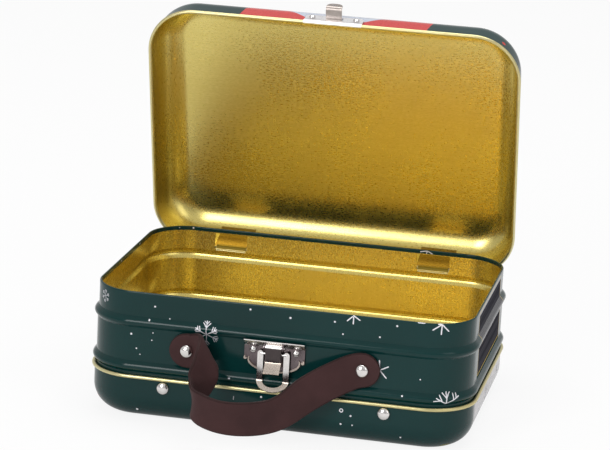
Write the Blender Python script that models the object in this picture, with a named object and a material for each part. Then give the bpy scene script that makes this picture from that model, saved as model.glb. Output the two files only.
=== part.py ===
"""Suitcase-shaped gift tin with a hinged lid, a toggle latch and a riveted leather handle.

Units are metres, +Z is up and the front faces -Y. The origin is the middle of the tray's flat underside.
The lid stands open: everything on it is modelled closed and carried by an empty on the hinge axis.
"""

import math

import bmesh
import bpy
from mathutils import Vector

MM = 0.001

# Body and lid sizes, measured over the plain middle wall
WIDTH = 200.0 * MM
DEPTH = 141.0 * MM
CORNER_RADIUS = 24.0 * MM
SHEET = 0.5 * MM
GAP = 0.3 * MM

# Heights of the stacked zones of the body, from the table upwards
TRAY_DEPTH = 24.9 * MM
RIM_TO_BEAD = 1.4 * MM
BEAD_HEIGHT = 6.0 * MM
BEAD_DEPTH = 1.9 * MM
WALL_HEIGHT = 17.9 * MM
NECK_HEIGHT = 12.8 * MM
NECK_INSET = 0.6 * MM
HEM_HEIGHT = 2.2 * MM
HEM_THICKNESS = 1.2 * MM

# Deep-drawn tray and lid stampings
FILLET_RADIUS = 14.0 * MM
ROLL_RADIUS = 1.0 * MM
ROLL_OUTSET = 0.9 * MM
LID_DEPTH = 24.9 * MM
LID_TO_BEAD = 0.2 * MM
LID_REST_ANGLE = math.radians(76.0)

# Hinge tongues, lanced from two windows in the back of the neck
HINGE_SPREAD = 57.5 * MM
WINDOW_SIDE = 0.65 * MM
WINDOW_SILL = 1.3 * MM
WINDOW_TO_HEM = 0.5 * MM
TONGUE_WIDTH = 17.0 * MM
TONGUE_START = 145.0
TONGUE_END = -140.0
SLOT_CLEARANCE = 0.4 * MM
TONGUE_STEPS = 12

# Leather handle, a strap with round ends
HANDLE_SPAN = 91.6 * MM
STRAP_WIDTH = 18.4 * MM
STRAP_THICKNESS = 2.0 * MM
STRAP_STANDOFF = 0.6 * MM
# Each control point of the strap's middle line: share of half the span, distance out, drop below the rivets,
# and twist in degrees.
STRAP_ROUTE = (
    (-0.89, 0.0 * MM, -0.1 * MM, 1.0),
    (-0.70, 5.7 * MM, -4.8 * MM, 31.0),
    (-0.68, 17.8 * MM, -0.3 * MM, 33.0),
    (-0.72, 18.9 * MM, 11.4 * MM, 2.0),
    (-0.81, 29.6 * MM, 17.7 * MM, 6.0),
    (-0.51, 32.9 * MM, 22.7 * MM, 12.0),
    (-0.19, 29.4 * MM, 23.8 * MM, 3.0),
    (0.11, 22.0 * MM, 23.0 * MM, 2.0),
    (0.29, 17.0 * MM, 18.0 * MM, -1.0),
    (0.45, 11.0 * MM, 11.0 * MM, -17.0),
    (0.89, 0.0 * MM, 0.8 * MM, -8.0),
)
STRAP_PITCH = 1.5 * MM

# Rivets: head radius, head height, shank radius, tail radius, tail height
LARGE_RIVET = (3.4 * MM, 1.9 * MM, 1.5 * MM, 2.6 * MM, 0.8 * MM)
TRAY_RIVET = (3.3 * MM, 1.9 * MM, 1.5 * MM, 2.6 * MM, 0.8 * MM)
SMALL_RIVET = (1.75 * MM, 1.1 * MM, 0.9 * MM, 1.6 * MM, 0.6 * MM)
KEEPER_RIVET = (1.75 * MM, 1.1 * MM, 0.9 * MM, 1.4 * MM, 0.3 * MM)
KEEPER_TAIL_GAP = 0.15 * MM
TRAY_RIVET_SPREAD = 58.0 * MM

# Latch base plate
PLATE_WIDTH = 31.6 * MM
PLATE_HEIGHT = 14.8 * MM
PLATE_SIDE = 8.8 * MM
PLATE_THICKNESS = 0.8 * MM
PLATE_TO_BEAD = 0.8 * MM
FLANGE_LENGTH = 3.6 * MM
FLANGE_ANGLE = math.radians(40.0)
LIP_HEIGHT = 1.0 * MM
LATCH_RIVET_EDGE = 4.6 * MM
LATCH_RIVET_DROP = 3.4 * MM
EAR_THICKNESS = 0.65 * MM
EAR_MARGIN = 0.7 * MM

# Latch lever, its pin and the bail that hangs from it
PIN_RADIUS = 0.7 * MM
LEVER_BACK_GAP = 0.5 * MM
PIN_DROP = 1.1 * MM
LEVER_WIDTH = 8.3 * MM
LEVER_LENGTH = 7.9 * MM
LEVER_SHEET = 0.6 * MM
LIP_LENGTH = 5.8 * MM
LIP_ANGLE = math.radians(40.0)
CHEEK_THICKNESS = 0.7 * MM
CHEEK_LENGTH = 5.0 * MM
BAIL_DROP = 3.4 * MM
BAIL_BACK = 0.1 * MM
BAIL_STRIP = 3.0 * MM
BAIL_THICKNESS = 0.8 * MM
BAIL_SIDE_GAP = 1.2 * MM
BAIL_LEG = 14.5 * MM
BAIL_BOW = 6.0 * MM
BAIL_BEND = math.radians(40.0)
BAIL_PIVOT_RADIUS = 0.55 * MM

# Keeper on the front of the lid, whose hook the bail catches
KEEPER_WIDTH = 31.6 * MM
KEEPER_HEIGHT = 7.2 * MM
KEEPER_THICKNESS = 0.7 * MM
KEEPER_CORNER = 1.5 * MM
KEEPER_RIVET_EDGE = 3.8 * MM
HOOK_SIDE_GAP = 1.0 * MM
HOOK_REACH = 5.6 * MM
HOOK_RISE = 2.8 * MM
HOOK_SLOT = 2.6 * MM
HOOK_BEND = 2.0 * MM

# Segments of the round shapes
CORNER_STEPS = 7
BEAD_STEPS = 6
FILLET_STEPS = 6
ROLL_STEPS = 11
RIVET_STEPS = 14
DOME_STEPS = 4
BAIL_STEPS = 12

# Levels and planes that follow from the sizes above
LOWER_BEAD = TRAY_DEPTH + RIM_TO_BEAD
MIDDLE_LOW = LOWER_BEAD + BEAD_HEIGHT
MIDDLE_HIGH = MIDDLE_LOW + WALL_HEIGHT
NECK_LOW = MIDDLE_HIGH + BEAD_HEIGHT
BODY_TOP = NECK_LOW + NECK_HEIGHT
FRONT = -DEPTH / 2
STAMPING_OFFSET = GAP
BAND_BOTTOM = FILLET_RADIUS + GAP + 0.2 * MM
HINGE_Y = DEPTH / 2 + STAMPING_OFFSET + ROLL_OUTSET
HINGE_Z = NECK_LOW + LID_TO_BEAD + ROLL_RADIUS
LID_RIM = HINGE_Z - ROLL_RADIUS
TONGUE_INNER = ROLL_RADIUS + GAP
TONGUE_OUTER = TONGUE_INNER + SHEET
PLATE_TOP = MIDDLE_HIGH - PLATE_TO_BEAD
PLATE_BACK = FRONT - GAP
PLATE_FACE = PLATE_BACK - PLATE_THICKNESS
PIN_HOLE = PIN_RADIUS + GAP
LEVER_ROLL = PIN_HOLE + LEVER_SHEET
PIN_Y = PLATE_FACE - LEVER_BACK_GAP - LEVER_ROLL
PIN_Z = PLATE_TOP - PIN_DROP
EAR_RADIUS = PIN_HOLE + EAR_MARGIN
BAIL_Y = PIN_Y + BAIL_BACK
BAIL_Z = PIN_Z - BAIL_DROP
BAIL_OPENING = LEVER_WIDTH + 2 * BAIL_SIDE_GAP
EAR_INNER = LEVER_WIDTH / 2 + GAP
LATCH_RIVET_SPREAD = PLATE_WIDTH / 2 - LATCH_RIVET_EDGE
HANDLE_Z = (MIDDLE_LOW + MIDDLE_HIGH) / 2
STRAP_Y = FRONT - STRAP_STANDOFF - STRAP_THICKNESS / 2
LID_FRONT = FRONT - STAMPING_OFFSET - SHEET
KEEPER_FACE = LID_FRONT - GAP - KEEPER_THICKNESS
KEEPER_LOW = LID_RIM + 2 * ROLL_RADIUS + GAP
KEEPER_MIDDLE = KEEPER_LOW + KEEPER_HEIGHT / 2
KEEPER_RIVET_SPREAD = KEEPER_WIDTH / 2 - KEEPER_RIVET_EDGE
HOOK_WIDTH = BAIL_OPENING - 2 * HOOK_SIDE_GAP
HOOK_ROOT = KEEPER_LOW + 0.3 * KEEPER_HEIGHT
WINDOW_WIDTH = TONGUE_WIDTH + 2 * WINDOW_SIDE


def material(name, colour, roughness, metallic):
    made = bpy.data.materials.new(name)
    made.use_nodes = True
    shader = made.node_tree.nodes["Principled BSDF"]
    shader.inputs["Base Color"].default_value = (*colour, 1.0)
    shader.inputs["Roughness"].default_value = roughness
    shader.inputs["Metallic"].default_value = metallic
    return made


def add_object(name, shape, look, origin=(0.0, 0.0, 0.0), carrier=None):
    """Makes an object of the shape, which is in world coordinates, with its origin at the given point."""
    place = Vector(origin)
    base = carrier.location if carrier else Vector((0.0, 0.0, 0.0))
    bmesh.ops.recalc_face_normals(shape, faces=shape.faces)
    bmesh.ops.translate(shape, verts=shape.verts, vec=-place)
    mesh = bpy.data.meshes.new(name)
    shape.to_mesh(mesh)
    shape.free()
    mesh.shade_smooth()
    mesh.set_sharp_from_angle(angle=math.radians(35.0))
    if look:
        mesh.materials.append(look)
    made = bpy.data.objects.new(name, mesh)
    made.parent = carrier
    made.location = place - base
    bpy.context.scene.collection.objects.link(made)
    return made


def helper(name, shape, carrier=None):
    """An object that only cuts or joins, so it is drawn as wire and left out of a render."""
    made = add_object(name, shape, None, carrier.location if carrier else (0.0, 0.0, 0.0), carrier)
    made.hide_render = True
    made.display_type = "WIRE"
    return made


def boolean(target, tool, operation):
    step = target.modifiers.new(tool.name, "BOOLEAN")
    step.operation = operation
    step.solver = "EXACT"
    step.object = tool


def outline(offset):
    """Rounded rectangle, anticlockwise from above, grown by the offset."""
    points = []
    radius = CORNER_RADIUS + offset
    for quarter, (side_x, side_y) in enumerate(((1, -1), (1, 1), (-1, 1), (-1, -1))):
        centre_x = side_x * (WIDTH / 2 - CORNER_RADIUS)
        centre_y = side_y * (DEPTH / 2 - CORNER_RADIUS)
        for step in range(CORNER_STEPS + 1):
            angle = math.radians(90.0 * (quarter - 1 + step / CORNER_STEPS))
            points.append((centre_x + radius * math.cos(angle), centre_y + radius * math.sin(angle)))
    return points


def arc(centre, radius, start, end, steps):
    """Points on an arc, from the start angle to the end angle in degrees, both ends included."""
    turns = [math.radians(start + (end - start) * step / steps) for step in range(steps + 1)]
    return [(centre[0] + radius * math.cos(t), centre[1] + radius * math.sin(t)) for t in turns]


def swept_wall(profile, closed):
    """Sweeps a profile of (offset, height) points round the outline, with caps where it is open."""
    shape = bmesh.new()
    rings = [[shape.verts.new((x, y, height)) for x, y in outline(offset)] for offset, height in profile]
    pairs = list(zip(rings, rings[1:]))
    if closed:
        pairs.append((rings[-1], rings[0]))
    for low, high in pairs:
        for i in range(len(low)):
            j = (i + 1) % len(low)
            shape.faces.new((low[i], low[j], high[j], high[i]))
    if not closed:
        shape.faces.new(rings[0])
        shape.faces.new(rings[-1])
    return shape


def prism(shape, points, axis, low, high):
    """Adds an outline extruded along an axis: the points are (y, z) for X and (x, z) for Y."""
    rows = []
    for level in (low, high):
        if axis == "X":
            rows.append([shape.verts.new((level, a, b)) for a, b in points])
        else:
            rows.append([shape.verts.new((a, level, b)) for a, b in points])
    shape.faces.new(rows[0])
    shape.faces.new(rows[1][::-1])
    for i in range(len(points)):
        j = (i + 1) % len(points)
        shape.faces.new((rows[0][i], rows[1][i], rows[1][j], rows[0][j]))
    return shape


def box_points(low_a, low_b, high_a, high_b):
    return [(low_a, low_b), (high_a, low_b), (high_a, high_b), (low_a, high_b)]


def round_bar(shape, axis, centre, radius, low, high, steps=RIVET_STEPS):
    return prism(shape, arc(centre, radius, 0.0, 360.0, steps)[:-1], axis, low, high)


def rivet_shape(centre, outward, sizes, face, grip, tail_gap=GAP):
    """A domed rivet along Y. face is the plane that the head sits on, grip the stack's thickness."""
    head_radius, head_height, shank_radius, tail_radius, tail_height = sizes
    tail = -grip - GAP - tail_gap
    profile = [
        (0.0, tail - tail_height),
        (0.8 * tail_radius, tail - tail_height),
        (tail_radius, tail - 0.6 * tail_height),
        (tail_radius, tail),
        (shank_radius, tail),
        (shank_radius, 0.0),
        (0.9 * head_radius, 0.0),
    ]
    rim_height = 0.12 * head_height
    for step in range(DOME_STEPS):
        turn = 0.5 * math.pi * step / DOME_STEPS
        profile.append((head_radius * math.cos(turn), rim_height + head_height * math.sin(turn)))
    profile.append((0.0, rim_height + head_height))
    shape = bmesh.new()
    rings = []
    for radius, height in profile:
        y = face + outward * (height + GAP)
        if radius == 0.0:
            rings.append([shape.verts.new((centre[0], y, centre[1]))])
        else:
            ring = arc(centre, radius, 0.0, 360.0, RIVET_STEPS)[:-1]
            rings.append([shape.verts.new((x, y, z)) for x, z in ring])
    for low, high in zip(rings, rings[1:]):
        for i in range(RIVET_STEPS):
            j = (i + 1) % RIVET_STEPS
            corners = [low[i % len(low)], low[j % len(low)], high[j % len(high)], high[i % len(high)]]
            shape.faces.new(list(dict.fromkeys(corners)))
    return shape


def bead(low, base_low, base_high):
    """The points of a half-sine rib between its two edges, as (offset, height)."""
    points = []
    for step in range(BEAD_STEPS + 1):
        share = step / BEAD_STEPS
        base = base_low + (base_high - base_low) * share
        points.append((base + BEAD_DEPTH * math.sin(math.pi * share), low + BEAD_HEIGHT * share))
    return points


def band_profile():
    hem_radius = HEM_THICKNESS / 2
    outer = [(0.0, BAND_BOTTOM)]
    outer += bead(LOWER_BEAD, 0.0, 0.0)
    outer += bead(MIDDLE_HIGH, 0.0, -NECK_INSET)
    hem = arc((-NECK_INSET - hem_radius, BODY_TOP - hem_radius), hem_radius, 0.0, 180.0, 5)
    hem.append((-NECK_INSET - HEM_THICKNESS, BODY_TOP - HEM_HEIGHT))
    hem.append((-NECK_INSET - SHEET, BODY_TOP - HEM_HEIGHT))
    inner = [(offset - SHEET, height) for offset, height in reversed(outer)]
    return outer + hem + inner


def stamping_profile(depth):
    """A tray standing on its flat panel: panel, fillet, wall and outward roll, then back down inside."""
    inside = STAMPING_OFFSET
    outside = inside + SHEET
    centre = outside - FILLET_RADIUS
    roll = (inside + ROLL_OUTSET, depth - ROLL_RADIUS)
    inner_turn = math.degrees(math.acos(ROLL_OUTSET / ROLL_RADIUS))
    outer_turn = math.degrees(math.acos((ROLL_OUTSET - SHEET) / ROLL_RADIUS))
    points = arc((centre, FILLET_RADIUS), FILLET_RADIUS, -90.0, 0.0, FILLET_STEPS)
    points += arc(roll, ROLL_RADIUS, outer_turn - 180.0, 180.0 + inner_turn, ROLL_STEPS)
    points += arc((centre, FILLET_RADIUS), FILLET_RADIUS - SHEET, 0.0, -90.0, FILLET_STEPS)
    return points


def hinge_positions():
    return (-HINGE_SPREAD, HINGE_SPREAD)


def hinge_tongues():
    """Two strips that leave the window sill and curl round the lid's rolled rim."""
    axis = (HINGE_Y, HINGE_Z)
    outer = arc(axis, TONGUE_OUTER, TONGUE_START, TONGUE_END, TONGUE_STEPS)
    inner = arc(axis, TONGUE_INNER, TONGUE_END, TONGUE_START, TONGUE_STEPS)
    root = DEPTH / 2 - NECK_INSET - 0.8 * SHEET
    points = outer + inner + [(root, HINGE_Z - 0.8 * MM), (root, HINGE_Z + 0.2 * MM)]
    shape = bmesh.new()
    for x in hinge_positions():
        prism(shape, points, "X", x - TONGUE_WIDTH / 2, x + TONGUE_WIDTH / 2)
    return shape


def body_cutters():
    """The windows in the neck's back wall and every rivet hole in the band."""
    shape = bmesh.new()
    sill = NECK_LOW + WINDOW_SILL
    head = BODY_TOP - HEM_HEIGHT - WINDOW_TO_HEM
    for x in hinge_positions():
        window = box_points(x - WINDOW_WIDTH / 2, sill, x + WINDOW_WIDTH / 2, head)
        prism(shape, window, "Y", DEPTH / 4, DEPTH / 2 + 5 * MM)
    for side in (-1, 1):
        handle = (side * HANDLE_SPAN / 2, HANDLE_Z)
        latch = (side * LATCH_RIVET_SPREAD, PLATE_TOP - LATCH_RIVET_DROP)
        round_bar(shape, "Y", handle, LARGE_RIVET[2] + GAP, -DEPTH, -DEPTH / 4)
        round_bar(shape, "Y", latch, SMALL_RIVET[2] + GAP, -DEPTH, -DEPTH / 4)
        round_bar(shape, "Y", tray_rivet_centre(side), TRAY_RIVET[2] + GAP, -DEPTH, DEPTH)
    return shape


def tray_rivet_centre(side):
    height = TRAY_DEPTH - 2 * ROLL_RADIUS - GAP - TRAY_RIVET[0]
    return (side * TRAY_RIVET_SPREAD, height)


def tray_cutters():
    shape = bmesh.new()
    for side in (-1, 1):
        round_bar(shape, "Y", tray_rivet_centre(side), TRAY_RIVET[2] + GAP, -DEPTH, DEPTH)
    return shape


def lid_cutters():
    """The slots that let the hinge tongues reach the rim, and the keeper's two rivet holes."""
    shape = bmesh.new()
    low = HINGE_Z + 0.45 * ROLL_RADIUS
    high = HINGE_Z + TONGUE_OUTER + SLOT_CLEARANCE
    half = TONGUE_WIDTH / 2 + SLOT_CLEARANCE
    for x in hinge_positions():
        slot = box_points(x - half, low, x + half, high)
        prism(shape, slot, "Y", HINGE_Y - ROLL_OUTSET - 1 * MM, HINGE_Y - 0.35 * ROLL_RADIUS)
    for side in (-1, 1):
        centre = (side * KEEPER_RIVET_SPREAD, KEEPER_MIDDLE)
        round_bar(shape, "Y", centre, KEEPER_RIVET[2] + GAP, -DEPTH, -DEPTH / 4)
    return shape


def strap_line():
    """The strap's middle line as (point, direction, twist): a B-spline from rivet to rivet."""
    half = HANDLE_SPAN / 2
    left = (Vector((-half, STRAP_Y, HANDLE_Z)), 0.0)
    right = (Vector((half, STRAP_Y, HANDLE_Z)), 0.0)
    route = []
    for share, out, drop, twist in STRAP_ROUTE:
        route.append((Vector((share * half, STRAP_Y - out, HANDLE_Z - drop)), math.radians(twist)))
    control = [left] * 3 + route + [right] * 3
    fine = 40
    points = [left]
    for near in zip(control, control[1:], control[2:], control[3:]):
        for step in range(fine):
            t = step / fine
            weights = ((1 - t) ** 3, 3 * t**3 - 6 * t**2 + 4, -3 * t**3 + 3 * t**2 + 3 * t + 1, t**3)
            point = sum((place * weight for (place, _), weight in zip(near, weights)), Vector()) / 6
            twist = sum(turn * weight for (_, turn), weight in zip(near, weights)) / 6
            if (point - points[-1][0]).length >= STRAP_PITCH:
                points.append((point, twist))
    if (right[0] - points[-1][0]).length < STRAP_PITCH / 2:
        points.pop()
    points.append(right)
    line = []
    for index, (point, twist) in enumerate(points):
        ahead = points[min(index + 1, len(points) - 1)][0]
        behind = points[max(index - 1, 0)][0]
        line.append((point, (ahead - behind).normalized(), twist))
    return line


def strap_shape():
    """A flat strip along the strap's line, upright where it has no twist, with round ends."""
    half_width = STRAP_WIDTH / 2
    half_sheet = STRAP_THICKNESS / 2
    line = strap_line()
    shares = (0.99, 0.93, 0.8, 0.6, 0.33)
    sections = [(point, direction, twist, half_width) for point, direction, twist in line]
    for share in reversed(shares):
        reach = half_width * math.sqrt(1 - share * share)
        for end, side in ((line[0], -1), (line[-1], 1)):
            cap = (end[0] + end[1] * side * half_width * share, end[1], end[2], reach)
            sections.insert(0 if side < 0 else len(sections), cap)
    shape = bmesh.new()
    rings = []
    for point, direction, twist, reach in sections:
        upright = (Vector((0.0, 0.0, 1.0)) - direction * direction.z).normalized()
        across = upright * math.cos(twist) + direction.cross(upright) * math.sin(twist)
        outward = direction.cross(across)
        ring = []
        for a, b in ((-1, -1), (1, -1), (1, 1), (-1, 1)):
            ring.append(shape.verts.new(point + across * reach * a + outward * half_sheet * b))
        rings.append(ring)
    for near, far in zip(rings, rings[1:]):
        for i in range(4):
            j = (i + 1) % 4
            shape.faces.new((near[i], near[j], far[j], far[i]))
    shape.faces.new(rings[0])
    shape.faces.new(rings[-1])
    return shape


def plate_lower_edge():
    """The bowl-shaped lower edge of the latch plate, from its left ear to its right ear, as (x, z)."""
    half = PLATE_WIDTH / 2
    side = PLATE_TOP - PLATE_SIDE
    bottom = PLATE_TOP - PLATE_HEIGHT
    left = [(-half, side), (-0.86 * half, side)]
    left += [(-0.56 * half, side - 0.6 * (side - bottom)), (-0.3 * half, bottom)]
    return left + [(-x, z) for x, z in reversed(left)]


def latch_plate_shape():
    """The flat shield of the base plate."""
    half = PLATE_WIDTH / 2
    points = plate_lower_edge() + [(half, PLATE_TOP), (-half, PLATE_TOP)]
    return prism(bmesh.new(), points, "Y", PLATE_FACE, PLATE_BACK)


def latch_plate_trim():
    """The raised lip, the bent top flange and the two ears that hold the lever's pin."""
    shape = bmesh.new()
    edge = plate_lower_edge()
    raised = [(x, z + 0.35 * MM) for x, z in edge]
    fallen = [(x, z - 0.45 * MM) for x, z in edge]
    prism(shape, fallen + raised[::-1], "Y", PLATE_FACE - LIP_HEIGHT, PLATE_BACK - 0.15 * MM)
    along = Vector((-math.cos(FLANGE_ANGLE), math.sin(FLANGE_ANGLE)))
    across = Vector((along.y, -along.x)) * PLATE_THICKNESS / 2
    start = Vector((PLATE_FACE + 0.35 * MM, PLATE_TOP - 0.3 * MM))
    end = start + along * FLANGE_LENGTH
    flange = [start - across, end - across, end + across, start + across]
    half = PLATE_WIDTH / 2
    prism(shape, [tuple(p) for p in flange], "X", -half, half)
    return shape


def latch_ears():
    shape = bmesh.new()
    nose = arc((PIN_Y, PIN_Z), EAR_RADIUS, 90.0, 270.0, 6)
    back = PLATE_FACE + 0.3 * MM
    points = nose + [(back, PIN_Z - EAR_RADIUS), (back, PIN_Z + EAR_RADIUS)]
    for low in (-EAR_INNER - EAR_THICKNESS, EAR_INNER):
        prism(shape, points, "X", low, low + EAR_THICKNESS)
    return shape


def latch_plate_cutters():
    shape = bmesh.new()
    for side in (-1, 1):
        centre = (side * LATCH_RIVET_SPREAD, PLATE_TOP - LATCH_RIVET_DROP)
        round_bar(shape, "Y", centre, SMALL_RIVET[2] + GAP, PLATE_FACE - 1 * MM, PLATE_BACK + 1 * MM)
    reach = EAR_INNER + EAR_THICKNESS + 0.5 * MM
    round_bar(shape, "X", (PIN_Y, PIN_Z), PIN_HOLE, -reach, reach)
    return shape


def lever_shape():
    """The lever's sheet: a roll round the pin, a flat front and a finger lip bent forward."""
    axis = (PIN_Y, PIN_Z)
    face = PIN_Y - LEVER_ROLL
    inside = PIN_Y - PIN_HOLE
    knee = PIN_Z - LEVER_LENGTH
    lip = Vector((-math.sin(LIP_ANGLE), -math.cos(LIP_ANGLE))) * LIP_LENGTH
    rise = Vector((math.cos(LIP_ANGLE), -math.sin(LIP_ANGLE))) * LEVER_SHEET
    points = arc(axis, LEVER_ROLL, 180.0, -110.0, 10)
    points += arc(axis, PIN_HOLE, -110.0, 180.0, 10)
    points += [(inside, knee)]
    points += [(face + rise.x + lip.x, knee + rise.y + lip.y), (face + lip.x, knee + lip.y), (face, knee)]
    return prism(bmesh.new(), points, "X", -LEVER_WIDTH / 2, LEVER_WIDTH / 2)


def lever_cheeks():
    """Two side walls behind the lever's front, which the bail's ends turn in."""
    shape = bmesh.new()
    front = PIN_Y - LEVER_ROLL + 0.3 * LEVER_SHEET
    back = BAIL_Y + BAIL_PIVOT_RADIUS + GAP + 0.45 * MM
    top = BAIL_Z + BAIL_PIVOT_RADIUS + GAP + 0.55 * MM
    points = box_points(front, top - CHEEK_LENGTH, back, top)
    half = LEVER_WIDTH / 2 - 0.01 * MM
    for low in (-half, half - CHEEK_THICKNESS):
        prism(shape, points, "X", low, low + CHEEK_THICKNESS)
    return shape


def bail_shape():
    """A flat strip bent to a U, with its lower bow tilted forward and round upper ends."""
    inner = BAIL_OPENING / 2
    outer = inner + BAIL_STRIP
    middle = (inner + outer) / 2
    half = BAIL_STRIP / 2
    rows = [(-0.94, 0.34), (-0.75, 0.66), (-0.4, 0.92), (0.0, 1.0)]
    leg = [(middle - half * w, middle + half * w, half * d) for d, w in rows]
    leg.append((inner, outer, BAIL_LEG))
    stations = [((a, d), (b, d)) for a, b, d in leg]
    for step in range(1, BAIL_STEPS):
        turn = math.pi * step / BAIL_STEPS
        inner_point = (inner * math.cos(turn), BAIL_LEG + (BAIL_BOW - 0.8 * BAIL_STRIP) * math.sin(turn))
        outer_point = (outer * math.cos(turn), BAIL_LEG + BAIL_BOW * math.sin(turn))
        stations.append((inner_point, outer_point))
    stations += [((-a, d), (-b, d)) for a, b, d in reversed(leg)]
    shape = bmesh.new()
    rings = []
    for near, far in stations:
        ring = []
        for (x, run), depth in ((near, 0.5), (far, 0.5), (far, -0.5), (near, -0.5)):
            ring.append(shape.verts.new(bail_point(x, run, depth * BAIL_THICKNESS)))
        rings.append(ring)
    for first, second in zip(rings, rings[1:]):
        for i in range(4):
            j = (i + 1) % 4
            shape.faces.new((first[i], first[j], second[j], second[i]))
    shape.faces.new(rings[0])
    shape.faces.new(rings[-1])
    return shape


def bail_point(x, run, depth):
    """A point of the bail: run is the length down the strip, depth is measured towards the body."""
    past = max(0.0, run - BAIL_LEG)
    straight = min(run, BAIL_LEG)
    if past == 0.0:
        miter = math.tan(BAIL_BEND / 2) * depth if run == BAIL_LEG else 0.0
        return (x, BAIL_Y + depth, BAIL_Z - straight - miter)
    y = BAIL_Y - past * math.sin(BAIL_BEND) + depth * math.cos(BAIL_BEND)
    z = BAIL_Z - straight - past * math.cos(BAIL_BEND) - depth * math.sin(BAIL_BEND)
    return (x, y, z)


def bail_pivots():
    shape = bmesh.new()
    inner = LEVER_WIDTH / 2 - CHEEK_THICKNESS - 0.5 * MM
    outer = BAIL_OPENING / 2 + 0.5 * BAIL_STRIP
    for low, high in ((-outer, -inner), (inner, outer)):
        round_bar(shape, "X", (BAIL_Y, BAIL_Z), BAIL_PIVOT_RADIUS, low, high, 10)
    return shape


def keeper_shape():
    """The keeper's flat plate with cut corners."""
    half = KEEPER_WIDTH / 2
    low, high, cut = KEEPER_LOW, KEEPER_LOW + KEEPER_HEIGHT, KEEPER_CORNER
    points = [(-half + cut, low), (half - cut, low), (half, low + cut), (half, high - cut)]
    points += [(half - cut, high), (-half + cut, high), (-half, high - cut), (-half, low + cut)]
    return prism(bmesh.new(), points, "Y", KEEPER_FACE, KEEPER_FACE + KEEPER_THICKNESS)


def keeper_cutters():
    """The window that the hook is lanced from, and the two rivet holes."""
    shape = bmesh.new()
    half = HOOK_WIDTH / 2 + GAP
    low = KEEPER_LOW + 0.38 * KEEPER_HEIGHT
    window = box_points(-half, low, half, KEEPER_LOW + 0.86 * KEEPER_HEIGHT)
    prism(shape, window, "Y", KEEPER_FACE - 1 * MM, KEEPER_FACE + KEEPER_THICKNESS + 1 * MM)
    for side in (-1, 1):
        centre = (side * KEEPER_RIVET_SPREAD, KEEPER_MIDDLE)
        hole = KEEPER_RIVET[2] + GAP
        round_bar(shape, "Y", centre, hole, KEEPER_FACE - 1 * MM, KEEPER_FACE + KEEPER_THICKNESS + 1 * MM)
    return shape


def keeper_hook():
    """The tongue that stands out of the plate and turns up at its tip, with rounded corners."""
    back = KEEPER_FACE + 0.9 * KEEPER_THICKNESS
    root = HOOK_ROOT
    thickness = KEEPER_THICKNESS
    tip = KEEPER_FACE - HOOK_REACH
    bend = HOOK_BEND
    under = arc((tip + bend, root + bend), bend, 270.0, 180.0, 4)
    over = arc((tip + bend, root + bend), bend - thickness, 180.0, 270.0, 4)
    top = root + bend + HOOK_RISE - thickness
    points = [(back, root)] + under + [(tip, top), (tip + thickness, top)] + over
    points += [(back, root + thickness)]
    return prism(bmesh.new(), points, "X", -HOOK_WIDTH / 2, HOOK_WIDTH / 2)


def hook_slot():
    """The small slot through the hook's upturned tip."""
    shape = bmesh.new()
    tip = KEEPER_FACE - HOOK_REACH
    low = HOOK_ROOT + HOOK_BEND + 0.2 * MM
    slot = box_points(-HOOK_SLOT / 2, low, HOOK_SLOT / 2, low + 1.2 * MM)
    return prism(shape, slot, "Y", tip - 1 * MM, tip + 1.5 * MM)


def build_body(looks):
    band = add_object("body_band", swept_wall(band_profile(), True), looks["print"])
    boolean(band, helper("band_cutters", body_cutters()), "DIFFERENCE")
    boolean(band, helper("band_tongues", hinge_tongues()), "UNION")
    tray = add_object("bottom_tray", swept_wall(stamping_profile(TRAY_DEPTH), False), looks["print"])
    boolean(tray, helper("tray_holes", tray_cutters()), "DIFFERENCE")
    wall = GAP + 2 * SHEET
    for side, side_name in ((-1, "left"), (1, "right")):
        for outward, end_name in ((-1, "front"), (1, "back")):
            face = outward * (DEPTH / 2 + STAMPING_OFFSET + SHEET)
            shape = rivet_shape(tray_rivet_centre(side), outward, TRAY_RIVET, face, wall)
            add_object(f"tray_rivet_{end_name}_{side_name}", shape, looks["nickel"])


def build_lid(looks):
    hinge = bpy.data.objects.new("lid_hinge", None)
    hinge.location = (0.0, HINGE_Y, HINGE_Z)
    hinge.rotation_euler = (-LID_REST_ANGLE, 0.0, 0.0)
    hinge.empty_display_size = 20 * MM
    bpy.context.scene.collection.objects.link(hinge)
    top = LID_RIM + LID_DEPTH
    profile = [(offset, top - height) for offset, height in stamping_profile(LID_DEPTH)]
    lid = add_object("lid_shell", swept_wall(profile, False), looks["print"], hinge.location, hinge)
    boolean(lid, helper("lid_slots", lid_cutters(), hinge), "DIFFERENCE")
    keeper = add_object("keeper_plate", keeper_shape(), looks["nickel"], hinge.location, hinge)
    boolean(keeper, helper("keeper_holes", keeper_cutters(), hinge), "DIFFERENCE")
    boolean(keeper, helper("keeper_tongue", keeper_hook(), hinge), "UNION")
    boolean(keeper, helper("keeper_slot", hook_slot(), hinge), "DIFFERENCE")
    grip = KEEPER_THICKNESS + GAP + SHEET
    for side, side_name in ((-1, "left"), (1, "right")):
        centre = (side * KEEPER_RIVET_SPREAD, KEEPER_MIDDLE)
        shape = rivet_shape(centre, -1, KEEPER_RIVET, KEEPER_FACE, grip, KEEPER_TAIL_GAP)
        add_object(f"keeper_rivet_{side_name}", shape, looks["nickel"], hinge.location, hinge)


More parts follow.
